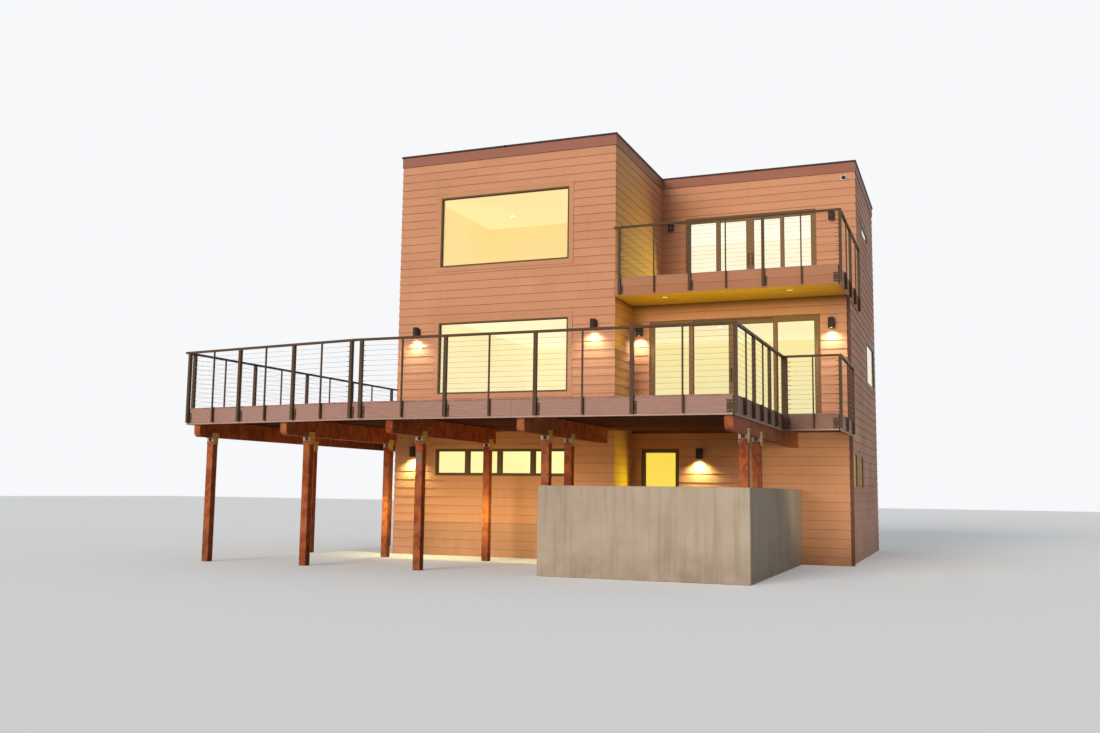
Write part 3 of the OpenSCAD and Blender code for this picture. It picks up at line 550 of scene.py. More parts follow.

# Both sidings carry painted shade under each board's edge, the second also a painted shade at the top of the
# walls under the soffit
siding = sidingMaterial("sidingPaint", paintedLapShade=True)
sidingShadedUnderSoffit = sidingMaterial("recessPaintShadedTop", paintedLapShade=True, under=soffitBottom)
trimPaint = sidingMaterial("trimPaint")
soffitPaintLampYellow = boardMaterial("soffitPaintLampYellow", soffitLampYellowLook, (1.0, 18.0, 18.0))
deckAlongX = boardMaterial("deckBoardAcross", deckLook, (0.7, 8.0, 8.0))
deckAlongY = boardMaterial("deckBoardAlong", deckLook, (8.0, 0.7, 8.0))
balconyEdgeX = boardMaterial("balconyEdgeAcross", balconyEdgeLook, (1.0, 18.0, 18.0))
balconyEdgeY = boardMaterial("balconyEdgeAlong", balconyEdgeLook, (18.0, 1.0, 18.0))
edgeStripX = boardMaterial("edgeStripAcross", stripLook, (1.0, 18.0, 18.0))
edgeStripY = boardMaterial("edgeStripAlong", stripLook, (18.0, 1.0, 18.0))
joistWood = boardMaterial("joistWood", joistLook, (1.2, 14.0, 14.0))
timberY = boardMaterial("timberAlong", timberLook, (14.0, 1.2, 14.0))
timberZ = boardMaterial("timberUpright", timberLook, (14.0, 14.0, 1.2))
roofBoard = boardMaterial("roofBoardStain", roofBoardLook, (1.0, 1.0, 16.0), 0.47)
floorBoard = boardMaterial("floorBoard", floorLook, (14.0, 1.0, 14.0), 0.27)
concrete = concreteMaterial()
membrane = membraneMaterial()
glass = glassMaterial()
rubber = rubberMaterial()

# Room walls that glow with painted room light: glow colour, warmer colour near the ceiling, strength
upperPlaster = litPlasterMaterial("upperRoomPlaster", (0.98, 0.81, 0.40), (0.98, 0.68, 0.22), 0.61)
backPlaster = litPlasterMaterial("backWallPlaster", (0.98, 0.78, 0.34), (0.96, 0.54, 0.11), 0.61)
middlePlaster = litPlasterMaterial("middleRoomPlaster", (0.98, 0.92, 0.62), (0.97, 0.80, 0.40), 0.67)
landingPlaster = litPlasterMaterial("landingPlaster", (0.98, 0.97, 0.86), (0.98, 0.92, 0.66), 0.66)
doorPlaster = litPlasterMaterial("doorRoomPlaster", (0.98, 0.93, 0.57), (0.98, 0.83, 0.32), 0.60)
groundPlaster = litPlasterMaterial("groundRoomPlaster", (0.97, 0.95, 0.60), (0.96, 0.87, 0.36), 0.68)
patioPlaster = litPlasterMaterial("patioRoomPlaster", (0.94, 0.72, 0.02), (0.93, 0.66, 0.015), 0.64)
lampGlow = lampGlowMaterial("lampGlow", (1.0, 0.80, 0.50), 6.0)
ceilingGlow = lampGlowMaterial("ceilingGlow", (1.0, 0.92, 0.74), 1.6)
soffitGlow = lampGlowMaterial("soffitGlow", (0.95, 0.58, 0.08), 0.20)

railMetal = metalMaterial("railBronze", (0.084, 0.048, 0.025), (0.124, 0.074, 0.038), metal=0.05)
frameMetal = metalMaterial(
    "frameBronze", (0.120, 0.073, 0.028), (0.165, 0.105, 0.044), metal=0.05, rough=0.45)
sliderMetal = metalMaterial(
    "sliderBronze", (0.195, 0.106, 0.044), (0.250, 0.142, 0.062), metal=0.05, rough=0.45)
copingMetal = metalMaterial("copingMetal", (0.052, 0.032, 0.031), (0.075, 0.050, 0.047))
lampMetal = metalMaterial("lampBronze", (0.032, 0.023, 0.018), (0.055, 0.042, 0.034))
spoutMetal = metalMaterial("spoutMetal", (0.16, 0.065, 0.048), (0.22, 0.095, 0.07), metal=0.2)
# The side plates of the caps get a painted golden lamplight
capMetal = metalMaterial(
    "capSteel", (0.58, 0.50, 0.42), (0.74, 0.66, 0.58), side=(0.80, 0.50, 0.10), metal=0.12, rough=0.45,
    dust=0.30, dirt=(0.30, 0.17, 0.09), size=120.0, spangle=0.6, sheen=0.5)
boltSteel = metalMaterial(
    "boltSteel", (0.20, 0.17, 0.145), (0.32, 0.28, 0.24), metal=0.5, rough=0.45,
    dust=0.35, dirt=(0.16, 0.09, 0.05), size=160.0, spangle=0.6, sheen=0.5)
plateMetal = metalMaterial(
    "plateMetal", (0.24, 0.13, 0.09), (0.32, 0.19, 0.13), metal=0.0, rough=0.6,
    dust=0.35, dirt=(0.30, 0.18, 0.11), size=160.0, spangle=0.5, sheen=0.2)
cableSteel = metalMaterial(
    "cableSteel", (0.25, 0.235, 0.215), (0.36, 0.34, 0.31), metal=0.5, rough=0.38,
    dust=0.2, dirt=(0.16, 0.13, 0.11), size=400.0, spangle=0.5, sheen=0.5)
cameraShell = metalMaterial(
    "cameraShell", (0.80, 0.79, 0.78), (0.86, 0.85, 0.84), metal=0.0, rough=0.35,
    dust=0.2, dirt=(0.5, 0.45, 0.4), size=200.0, spangle=0.4, sheen=0.5)
cameraDome = metalMaterial(
    "cameraDome", (0.02, 0.02, 0.03), (0.04, 0.04, 0.06), metal=0.0, rough=0.12,
    dust=0.1, dirt=(0.2, 0.2, 0.2), size=200.0, spangle=0.3, sheen=0.5)
unlitLens = metalMaterial(
    "unlitLens", (0.30, 0.28, 0.25), (0.42, 0.40, 0.36), metal=0.0, rough=0.35,
    dust=0.2, dirt=(0.2, 0.17, 0.14), size=90.0, spangle=0.4, sheen=0.5)
print("materials made")

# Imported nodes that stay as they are: finish, width of the softened edge, names
dressing = [
    (siding, 0.0, "tower_front_wall tower_left_wall tower_side_wall_lower tower_side_wall_upper"
                  " recess_wall_lower recess_wall_upper side_wall_lower side_wall_upper rear_wall"),
    (trimPaint, 0.003, "window_trim"),
    (concrete, 0.0, "ground_slab"),
    (concrete, 0.012, "concrete_post_wall"),
    (floorBoard, 0.0, "middle_floor upper_floor"),
    (membrane, 0.0, "roof_deck"),
    (backPlaster, 0.0, "upper_room_back_wall"),
    (roofBoard, 0.003, "roof_fascia"),
    (copingMetal, 0.004, "roof_coping"),
    (frameMetal, 0.003, "front_window_frames wide_window_frames small_window_frames"),
    (sliderMetal, 0.003, "sliding_door_frames"),
    (glass, 0.0, "front_window_glass sliding_door_glass side_and_rear_glass"),
    (railMetal, 0.003, "balcony_front_rail balcony_side_rail front_rail_left front_rail_right left_side_rail"
                       " back_rail right_side_rail walkway_front_rail walkway_side_rail"),
    (timberY, 0.003, "balcony_joists"),
    (joistWood, 0.003, "deck_joists"),
    (timberY, 0.008, "deck_beams"),
    (timberZ, 0.008, "deck_posts"),
    (capMetal, 0.0015, "post_caps"),
]


def dress(node, material, edge):
    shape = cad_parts[node]
    for slot in shape.material_slots:
        slot.link = "OBJECT"
        slot.material = material
    if edge:
        weld = shape.modifiers.new("joined", "WELD")
        weld.merge_threshold = 0.00005
        soften(shape, edge)


for finish, edge, nodes in dressing:
    for node in nodes.split():
        dress(node, finish, edge)
print("packed nodes dressed")


# Lap siding
windowBoxes = solidBoxes("wide_window_frames") + solidBoxes("small_window_frames")
openingBoxes = solidBoxes("front_window_frames") + solidBoxes("sliding_door_frames") + windowBoxes
trimBoxes = solidBoxes("window_trim")


class Facade:
    # A wall face: its ends, the side it looks to (1 to the right of its run, -1 to the left), its height
    # range and which ends are mitred
    def __init__(self, start, end, side, low, high, mitres=(False, False)):
        run = Vector((end[0] - start[0], end[1] - start[1], 0.0))
        self.start = Vector((*start, 0.0))
        self.along = run.normalized()
        self.length = run.length
        self.out = Vector((self.along.y, -self.along.x, 0.0)) * side
        self.low = low
        self.high = high
        self.mitres = mitres

    def point(self, across, outward, height):
        if across <= 0.0 and self.mitres[0]:
            across -= outward
        if across >= self.length and self.mitres[1]:
            across += outward
        return self.start + self.along * across + self.out * outward + Vector((0, 0, height))

    def section(self, a, b, near, far, height):
        # Four points round a stretch of the face, from one depth to another
        return [self.point(x, depth, height) for x, depth in rectangle(a, near, b, far)]

    def holes(self, boxes, reach, grow):
        # Boxes whose outer side lies within reach of this face, as (from, to, low, high)
        found = []
        for low, high in boxes:
            ends = [Vector((x, y, 0)) - self.start for x in (low[0], high[0]) for y in (low[1], high[1])]
            outward = [end.dot(self.out) for end in ends]
            across = [end.dot(self.along) for end in ends]
            if abs(max(outward)) < reach and max(across) > 0 and min(across) < self.length:
                found.append((min(across) - grow, max(across) + grow, low[2] - grow, high[2] + grow))
        return found


def clearSpans(length, holes, low, high):
    # Stretches of the face between the holes, at one range of heights
    shortest, touch = 0.004, 0.00001
    spans = [(0.0, length)]
    for start, end, bottom, top in holes:
        if bottom < high - touch and top > low + touch:
            cut = []
            for a, b in spans:
                if start > a:
                    cut.append((a, min(b, start)))
                if end < b:
                    cut.append((max(a, end), b))
            spans = [(a, b) for a, b in cut if b - a > shortest]
    return spans


def strips(low, high, holes):
    # Heights at which the holes begin or end split a course
    cuts = sorted({low, high} | {z for hole in holes for z in hole[2:] if low < z < high})
    return list(zip(cuts, cuts[1:]))


def sideFacade(name, facade, seed):
    # Courses counted down from the roof band, so that they meet round the corners
    spec = sidingBoards
    boards = Solids(seed)
    chance = random.Random(seed)
    exposure, back, shortest = spec["exposure"], spec["back"], spec["shortest"]
    taper = (spec["buttDepth"] - spec["topDepth"]) / exposure
    holes = facade.holes(trimBoxes, spec["trimReach"], spec["gapAtTrim"])
    holes += facade.holes(openingBoxes, spec["frameReach"], spec["gapAtFrame"])
    for course in range(math.ceil((bandBottom - facade.low) / exposure)):
        top = bandBottom - course * exposure
        bottom = top - exposure
        if bottom > facade.high - spec["leastCourse"]:
            continue
        joint = chance.uniform(spec["firstJoint"], spec["boardLength"])
        tones = [chance.random() for _ in range(8)]
        joints = [joint + k * spec["boardLength"] for k in range(5)]
        for low, high in strips(max(bottom, facade.low), min(top, facade.high), holes):
            depths = [(z, spec["topDepth"] + taper * (top - z)) for z in (low, high)]
            for a, b in clearSpans(facade.length, holes, low, high):
                cuts = [a] + [j for j in joints if a + shortest < j < b - shortest] + [b]
                for k in range(len(cuts) - 1):
                    left = cuts[k] + (spec["jointGap"] / 2 if k > 0 else 0)
                    right = cuts[k + 1] - (spec["jointGap"] / 2 if k < len(cuts) - 2 else 0)
                    tone = tones[sum(j <= left for j in joints)]
                    boards.loft([facade.section(left, right, depth, back, z) for z, depth in depths], tone)
    # The walls under the soffit get the siding with painted shade at their top
    finish = sidingShadedUnderSoffit if name in ("recess_lower", "tower_side_lower") else siding
    boards.piece("siding_" + name, finish, "siding")


# Each face from its left end to its right end, seen from outside, with its heights and its mitred ends
towerStart, towerCorner = (towerLeft, towerFront), (towerRight, towerFront)
lowerInside, upperInside = (towerRight, lowerFront), (towerRight, upperFront)
lowerCorner, upperCorner = (sideRight, lowerFront), (sideRight, upperFront)
rightEnd, leftEnd = (sideRight, houseBack), (towerLeft, houseBack)
facades = {
    "tower_front": (towerStart, towerCorner, 0, bandBottom, True, True),
    "tower_side_lower": (towerCorner, lowerInside, 0, soffitBottom, True, False),
    "tower_side_upper": (towerCorner, upperInside, balconyTop, bandBottom, True, False),
    "recess_lower": (lowerInside, lowerCorner, 0, soffitBottom, False, True),
    "recess_upper": (upperInside, upperCorner, balconyTop, bandBottom, False, True),
    "right_lower": (lowerCorner, rightEnd, 0, balconyTop, True, True),
    "right_upper": (upperCorner, rightEnd, balconyTop, bandBottom, True, True),
    "rear": (rightEnd, leftEnd, 0, bandBottom, True, True),
    "left": (leftEnd, towerStart, 0, bandBottom, True, True),
}
for number, (name, (start, end, low, high, *mitres)) in enumerate(facades.items()):
    sideFacade(name, Facade(start, end, 1, low, high, mitres), 40 + number)
print("siding laid")


# Inner faces of the rooms: walls with the same openings, and ceilings
roomLining = {
    "thickness": 0.012, "stand": 0.001, "trackDepth": 0.2, "holeLap": -0.002,
    "sideStart": 1.6,        # the paint of the tower's rooms ends this far inside the tower's right wall
    "clear": 0.05,
}
innerLeft = towerLeft + wallThickness
innerRight = sideRight - wallThickness
innerFront = towerFront + wallThickness
innerBack = houseBack - wallThickness
towerInner = towerRight - wallThickness
lowerInner = lowerFront + wallThickness
upperInner = upperFront + wallThickness
partitionFront = lowOf("upper_room_back_wall")[1]
partitionBack = highOf("upper_room_back_wall")[1]
finishLine = towerInner - roomLining["sideStart"]


def lineRoom(name, outline, low, high, towerFinish, sideFinish):
    spec = roomLining
    lining = Solids(7)
    sideLining = Solids(9)
    for start, end in sidesOf(outline):
        face = Facade(start, end, -1, low, high)
        holes = face.holes(openingBoxes, spec["trackDepth"], spec["holeLap"])
        for bottom, top in strips(low, high, holes):
            for a, b in clearSpans(face.length, holes, bottom, top):
                loops = [face.section(a, b, spec["stand"], spec["thickness"], z) for z in (bottom, top)]
                middle = (loops[0][0] + loops[0][1]) / 2
                inSide = middle.x > finishLine and middle.y > lowerInner + spec["clear"]
                inSide = inSide or middle.x > towerInner + spec["clear"]
                (sideLining if inSide else lining).loft(loops)
    lining.piece(name + "_walls", towerFinish, "plaster")
    if sideLining.points:
        sideLining.piece(name + "_side_walls", sideFinish, "plaster")
    front = min(y for x, y in outline if x < towerInner)
    back = max(y for x, y in outline)
    sideFront = min([y for x, y in outline if x > towerInner + spec["clear"]], default=None)
    bottom, top = high - spec["thickness"], high - spec["stand"]
    ceiling = Solids(8)
    if sideFront is None:
        ceiling.block((innerLeft, front, bottom), (towerInner, back, top))
    else:
        ceiling.block((innerLeft, front, bottom), (finishLine, back, top))
        if sideFront > front:
            ceiling.block((finishLine, front, bottom), (towerInner, sideFront, top))
        sideCeiling = Solids(8)
        sideCeiling.block((finishLine, sideFront, bottom), (innerRight, back, top))
        sideCeiling.piece(name + "_side_ceiling", sideFinish, "plaster")
    ceiling.piece(name + "_ceiling", towerFinish, "plaster")


middleTop = highOf("middle_floor")[2]
upperTop = highOf("upper_floor")[2]
underMiddle = lowOf("middle_floor")[2]
underUpper = lowOf("upper_floor")[2]
underRoof = lowOf("roof_deck")[2]


def roomOutline(front, step):
    # Anticlockwise from the tower's front left: its front, the step back of the side part, the rear
    return [(innerLeft, front), (towerInner, front), (towerInner, step), (innerRight, step),
            (innerRight, innerBack), (innerLeft, innerBack)]


lowerOutline = roomOutline(innerFront, lowerInner)
lowerOutline.insert(5, (finishLine, innerBack))
frontOutline = rectangle(innerLeft, innerFront, towerInner, partitionFront)
backOutline = roomOutline(partitionBack, upperInner)
lineRoom("ground_rooms", lowerOutline, groundTop, underMiddle, groundPlaster, patioPlaster)
lineRoom("middle_rooms", lowerOutline, middleTop, underUpper, middlePlaster, doorPlaster)
lineRoom("upper_front_room", frontOutline, upperTop, underRoof, upperPlaster, upperPlaster)
lineRoom("upper_back_rooms", backOutline, upperTop, underRoof, landingPlaster, landingPlaster)

# Painted boards that line each opening from its frame to the inner face of the wall, glowing with their
# room's painted light
reveal = {
    "board": 0.010, "sillBoard": 0.014, "paneBoard": 0.004, "least": 0.005, "sillLift": 0.06,
    "floorReach": 0.3, "frontReach": 0.1,
}


def innerFaceOf(low, high):
    # The wall's thin axis, the side on which the room lies, and where the wall ends there
    across = 0 if high[0] - low[0] < high[1] - low[1] else 1
    middle = (low[across] + high[across]) / 2
    planes = (((innerRight, -1), (innerLeft, 1)) if across == 0 else
              ((innerFront, 1), (lowerInner, 1), (upperInner, 1), (innerBack, -1)))
    plane, way = min(planes, key=lambda item: abs(item[0] - middle))
    return across, way, plane


def finishBehind(low, high):
    # The paint of the room behind an opening, with its painted glow
    inTower = high[0] < towerRight
    if low[2] > balconyTop - reveal["floorReach"]:
        return upperPlaster if inTower and high[1] < innerFront + reveal["frontReach"] else landingPlaster
    if low[2] > deckTop - reveal["floorReach"]:
        return middlePlaster if inTower else doorPlaster
    return groundPlaster if inTower else patioPlaster


def ringBars(u0, z0, u1, z1, width):
    # Bottom, top and the two sides of a ring, as span along the wall and heights
    return [(u0, z0, u1, z0 + width), (u0, z1 - width, u1, z1),
            (u0, z0 + width, u0 + width, z1 - width), (u1 - width, z0 + width, u1, z1 - width)]


def paneLiners():
    # The painted inner side of the frames, seen through the side and rear panes, glowing with the room's
    # painted light
    rings = {}
    for low, high in solidBoxes("side_and_rear_glass"):
        across, way, _ = innerFaceOf(low, high)
        middle = Vector(low) + Vector(high)
        around = min(windowBoxes, key=lambda box: (Vector(box[0]) + Vector(box[1]) - middle).length)
        depths = sorted(((low, high)[way > 0][across], around[way > 0][across]))
        ring = rings.setdefault(finishBehind(*around), Solids(45))
        for bar in ringBars(low[1 - across], low[2], high[1 - across], high[2], reveal["paneBoard"]):
            ring.bar(across, *depths, *bar)
    for finish, ring in rings.items():
        ring.piece("paneLiner_" + finish.name, finish, "plaster")


def linedReveals():
    rings = {}
    board = reveal["board"]
    for low, high in openingBoxes:
        across, way, plane = innerFaceOf(low, high)
        start = (low, high)[way > 0][across]
        if (plane - start) * way < reveal["least"]:
            continue
        u0, u1, z0, z1 = low[1 - across], high[1 - across], low[2], high[2]
        bars = [(u0, z1 - board, u1, z1), (u0, z0, u0 + board, z1 - board), (u1 - board, z0, u1, z1 - board)]
        if min(abs(z0 - floorTop) for floorTop in (deckTop, balconyTop, groundTop)) > reveal["sillLift"]:
            bars.append((u0 + board, z0, u1 - board, z0 + reveal["sillBoard"]))
        ring = rings.setdefault(finishBehind(low, high), Solids(44))
        for bar in bars:
            ring.bar(across, min(start, plane), max(start, plane), *bar)
    for finish, ring in rings.items():
        ring.piece("reveal_" + finish.name, finish, "plaster")


linedReveals()
paneLiners()

# Round lights let into the ceilings and the soffit
recessedLight = {
    "radius": 0.065, "rim": 0.014, "drop": 0.006, "lens": ((0, 1.0), (0.002, 0.97), (0.0035, 0.7)),
}


def recessedLights(name, places, rimMaterial, lensMaterial):
    rims = Solids(3)
    lenses = Solids(4)
    radius, drop = recessedLight["radius"], recessedLight["drop"]
    outer = radius + recessedLight["rim"]
    lens = [(along, radius * share) for along, share in recessedLight["lens"]]
    for x, y, z in places:
        rims.turned((x, y, z), (0, 0, -1), [(0, outer), (drop * 0.6, outer), (drop, radius)])
        lenses.turned((x, y, z - drop), (0, 0, -1), lens)
    rims.piece(name + "_rims", rimMaterial, "camera_plastic")
    lenses.piece(name + "_lenses", lensMaterial, "lamp_metal")


def ceilingUnder(floor):
    return floor - roomLining["thickness"]


# Pairs in rows in the tower and in the part beside it, which reaches further forward on the lower storeys
towerPair, sidePair = (-3.7, -1.35), (1.1, 3.4)
lightRows = ((3.1, towerPair), (1.2, towerPair), (4.9, sidePair), (6.8, sidePair), (5.6, towerPair))
upperSpots = [(x, y) for y, pair in lightRows for x in pair]
lowerSpots = upperSpots + [(x, 2.5) for x in sidePair]
roomSpots = []
for floor, spots in ((underRoof, upperSpots), (underUpper, lowerSpots), (underMiddle, lowerSpots)):
    roomSpots += [housePoint(x, y, ceilingUnder(floor)) for x, y in spots]
recessedLights("ceiling_lights", roomSpots, cameraShell, ceilingGlow)
print("rooms lined")

# Roof edge: folded metal cap in lengths, with a cover over each joint, and the membrane turned up inside
roofEdge = {
    "overhang": 0.018, "spacing": 2.45, "cover": 0.075, "sheet": 0.002,
    "upstand": 0.006, "fillet": 0.03, "below": 0.01,
}


def offsetOutline(corners, reach):
    # Moves every side of an anticlockwise outline outward by reach
    points = [Vector(corner) for corner in corners]
    moved = []
    for before, point, after in zip(points[-1:] + points, points, points[1:] + points[:1]):
        sides = [(point - before).normalized(), (after - point).normalized()]
        moved.append(point + sum((Vector((side.y, -side.x)) for side in sides), Vector((0, 0))) * reach)
    return moved


def copingLengths():
    cap = Solids(11)
    low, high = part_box("roof_coping")
    out = high[0] - sideRight
    width = wallThickness + out + roofEdge["overhang"]
    sheet = roofEdge["sheet"]
    corners = [towerStart, towerCorner, upperInside, upperCorner, rightEnd, leftEnd]
    sides = zip(sidesOf(offsetOutline(corners, out)), sidesOf(offsetOutline(corners, out - width)))

    def stretch(outer, inner, near, far, bottom, top):
        # Part of one side between two shares of its length, its top falling inward
        a0, a1 = (outer[0].lerp(outer[1], share) for share in (near, far))
        b0, b1 = (inner[0].lerp(inner[1], share) for share in (near, far))
        fallen = top - 2 * sheet
        cap.loft([[(*p, bottom) for p in (a0, a1, b1, b0)],
                  [(*a0, top), (*a1, top), (*b1, fallen), (*b0, fallen)]], 0.5)

    for outer, inner in sides:
        length = (outer[1] - outer[0]).length
        parts = max(1, round(length / roofEdge["spacing"]))
        for part in range(parts):
            stretch(outer, inner, part / parts, (part + 1) / parts, low[2] + sheet, high[2] - sheet)
        half = roofEdge["cover"] / 2 / length
        for part in range(1, parts):
            stretch(outer, inner, part / parts - half, part / parts + half, low[2], high[2])
    made = cap.piece("coping_lengths", copingMetal, "coping", 0.0015)
    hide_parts("roof_coping")


def roofUpstand():
    upstand = Solids(12)
    bottom = highOf("roof_deck")[2]
    top = lowOf("roof_coping")[2] - roofEdge["below"]
    fillet, thin = roofEdge["fillet"], roofEdge["upstand"]
    for start, end in sidesOf(roomOutline(innerFront, upperInner)):
        face = Facade(start, end, -1, bottom, top)
        foot, bend, head = (face.section(0, face.length, 0, depth, z)
                            for z, depth in ((bottom, fillet), (bottom + fillet, thin), (top, thin)))
        upstand.loft([foot, bend], 0.5)
        upstand.loft([bend, head], 0.5)
    upstand.piece("roof_upstand", membrane, "coping")


copingLengths()
roofUpstand()
print("roof edge finished")

# Deck and balcony boards
deckPlan = {
    "reach": 5.145, "right": 3.540, "bendLeft": 2.885, "left": 6.960, "leftSetback": 0.630,
    "leftBack": 6.830, "sideLength": 4.665, "walkwayReach": 0.935, "walkwaySide": 0.080,
    "board": 0.140, "gap": 0.005, "butt": 0.0015, "edge": 0.025, "edgeHeight": 0.308, "beyond": 20.0,
    "split": 0.001, "leastArea": 0.0005,
    "deckJoints": ((-1.86, -3.48, -2.27, -3.08), (2.2, 3.0, 1.4), (), ()), "balconyJoints": (1.6, 2.9, 2.25),
}
leftFront = (-deckPlan["left"], -deckPlan["reach"] + deckPlan["leftSetback"])
bend = (-deckPlan["bendLeft"], -deckPlan["reach"])
rightFront = (deckPlan["right"], -deckPlan["reach"])
walkInner = (deckPlan["right"], -deckPlan["walkwayReach"])
walkFront = (sideRight - towerRight + deckPlan["walkwaySide"], -deckPlan["walkwayReach"])
wallLine = lowerFront - towerFront
walkBack = (walkFront[0], wallLine)
leftBack = (-deckPlan["leftBack"], deckPlan["sideLength"])
sideBack = (towerLeft - towerRight, deckPlan["sideLength"])


def clipped(outline, inside):
    # Cuts a convex outline by another, both anticlockwise
    result = outline
    for a, b in sidesOf(inside):
        kept = []
        for p, q in sidesOf(result):
            sideP = (b[0] - a[0]) * (p[1] - a[1]) - (b[1] - a[1]) * (p[0] - a[0])
            sideQ = (b[0] - a[0]) * (q[1] - a[1]) - (b[1] - a[1]) * (q[0] - a[0])
            if sideP >= 0:
                kept.append(p)
            if sideP * sideQ < 0:
                share = sideP / (sideP - sideQ)
                kept.append((p[0] + share * (q[0] - p[0]), p[1] + share * (q[1] - p[1])))
        result = kept
    return result


def area(outline):
    return 0.5 * sum(p[0] * q[1] - q[0] * p[1] for p, q in sidesOf(outline))


def layBoards(solids, region, low, high, acrossX, joints, seed):
    # Boards of one width fill a region, along Y or along X, with staggered butt joints
    chance = random.Random(seed)
    beyond, butt, width = deckPlan["beyond"], deckPlan["butt"], deckPlan["board"]
    pitch = width + deckPlan["gap"]
    places = [point[1 if acrossX else 0] for point in region]
    at = math.floor(min(places) / pitch) * pitch
    row = 0
    while at < max(places):
        edges = [-beyond, joints[row % len(joints)], beyond] if joints else [-beyond, beyond]
        for start, end in zip(edges, edges[1:]):
            a = start + (butt if start > -beyond else 0)
            b = end - (butt if end < beyond else 0)
            board = rectangle(a, at, b, at + width) if acrossX else rectangle(at, a, at + width, b)
            shape = clipped(board, region)
            tone = chance.random()
            if len(shape) > 2 and area(shape) > deckPlan["leastArea"]:
                solids.plate([(towerRight + x, towerFront + y) for x, y in shape], low, high, tone)
        at += pitch
        row += 1


def deckBoards():
    boards = Solids(21)
    right, split = deckPlan["right"], deckPlan["split"]
    share = -leftFront[1] / (leftBack[1] - leftFront[1])
    leftAtWall = leftFront[0] + share * (leftBack[0] - leftFront[0])
    # Before the tower, at its left side, in the recess and on the walkway
    regions = [
        [leftFront, bend, rightFront, (right, -split), (leftAtWall, -split)],
        [(leftAtWall, 0), (sideBack[0], 0), sideBack, leftBack],
        rectangle(0, 0, right, wallLine),
        [(right + split, walkFront[1]), walkFront, walkBack, (right + split, wallLine)],
    ]
    for region, joints in zip(regions, deckPlan["deckJoints"]):
        layBoards(boards, region, deckUnder, deckTop, False, joints, 5)
    made = boards.piece("deck_boards_laid", deckAlongY, "deck_board", 0.003)
    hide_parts("deck_boards")


def balconyBoards():
    boards = Solids(22)
    low, high = (corner - housePoint(0, 0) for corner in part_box("balcony_boards"))
    layBoards(boards, rectangle(*low.xy, *high.xy), low.z, high.z, True, deckPlan["balconyJoints"], 6)
    made = boards.piece("balcony_boards_laid", deckAlongX, "deck_board", 0.003)
    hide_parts("balcony_boards")


deckBoards()
balconyBoards()

# Edge boards with the joints of real board lengths, over a narrow paler strip
edgeBoards = {
    "gap": 0.003, "longest": 4.9, "joint": 0.002, "stagger": 0.35, "strip": 0.030, "stripGap": 0.002,
}


def layEdge(solids, start, end, low, high, rows=1):
    a = housePoint(*start)
    run = (housePoint(*end) - a).normalized()
    inward = Vector((-run.y, run.x, 0)) * deckPlan["edge"]
    length = (housePoint(*end) - a).length
    gap, half = edgeBoards["gap"], edgeBoards["joint"] / 2
    height = (high - low - gap * (rows - 1)) / rows
    pieces = max(1, math.ceil(length / edgeBoards["longest"]))
    for row in range(rows):
        bottom = low + row * (height + gap)
        shift = edgeBoards["stagger"] * (1 if row % 2 else -1)
        cuts = [0.0] + [k * length / pieces + shift for k in range(1, pieces)] + [length]
        for k in range(pieces):
            near = a + run * (cuts[k] + (half if k else 0))
            far = a + run * (cuts[k + 1] - (half if k < pieces - 1 else 0))
            outline = [corner.xy for corner in (near, far, far + inward, near + inward)]
            solids.plate(outline, bottom, bottom + height)


def edgePieces(name, seeds, finishes, runs, low, high, rows=1):
    # The boards across the front as one piece, which is returned, and those along the sides as another
    made = []
    for way, seed, finish, ends in zip(("across", "along"), seeds, finishes, runs):
        boards = Solids(seed)
        for start, end in ends:
            layEdge(boards, start, end, low, high, rows)
        made.append(boards.piece(f"{name}_{way}", finish, "deck_board", 0.002))
    return made[0]


def deckEdge():
    low = deckTop - deckPlan["edgeHeight"]
    stripTop = low + edgeBoards["strip"]
    shiftedInner = (walkInner[0] - deckPlan["edge"], walkInner[1])
    runs = (((leftFront, bend), (bend, rightFront), (shiftedInner, walkFront), (sideBack, leftBack)),
            ((leftBack, leftFront), (rightFront, walkInner), (walkFront, walkBack)))
    made = edgePieces("deck_edge", (23, 24), (deckAlongX, deckAlongY), runs, stripTop, deckUnder)
    edgePieces("deck_strip", (28, 29), (edgeStripX, edgeStripY), runs, low, stripTop - edgeBoards["stripGap"])
    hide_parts("deck_fascia")


def balconyEdge():
    low, high = (corner - housePoint(0, 0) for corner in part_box("balcony_fascia"))
    corner = (high.x, low.y)
    runs = ((((0, low.y), corner),), ((corner, (high.x, upperFront - towerFront)),))
    made = edgePieces("balcony_edge", (25, 26), (balconyEdgeX, balconyEdgeY), runs, low.z, high.z, 2)
    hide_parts("balcony_fascia")


deckEdge()
balconyEdge()

# Soffit of narrow boards with two recessed lights
soffit = {"board": 0.088, "pitch": 0.0905, "least": 0.01, "lights": ((0.97, 0.355), (3.51, 0.355))}


def soffitBoards():
    boards = Solids(27)
    low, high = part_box("balcony_soffit")
    y = low[1]
    while y < high[1] - soffit["least"]:
        boards.block((low[0], y, low[2]), (high[0], min(y + soffit["board"], high[1]), high[2]))
        y += soffit["pitch"]
    made = boards.piece("balcony_soffit_boards", soffitPaintLampYellow, "siding", 0.003)
    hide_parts("balcony_soffit")
    spots = [housePoint(x, y, soffitBottom) for x, y in soffit["lights"]]
    recessedLights("soffit_lights", spots, sliderMetal, soffitGlow)


soffitBoards()
print("deck and balcony boarded")

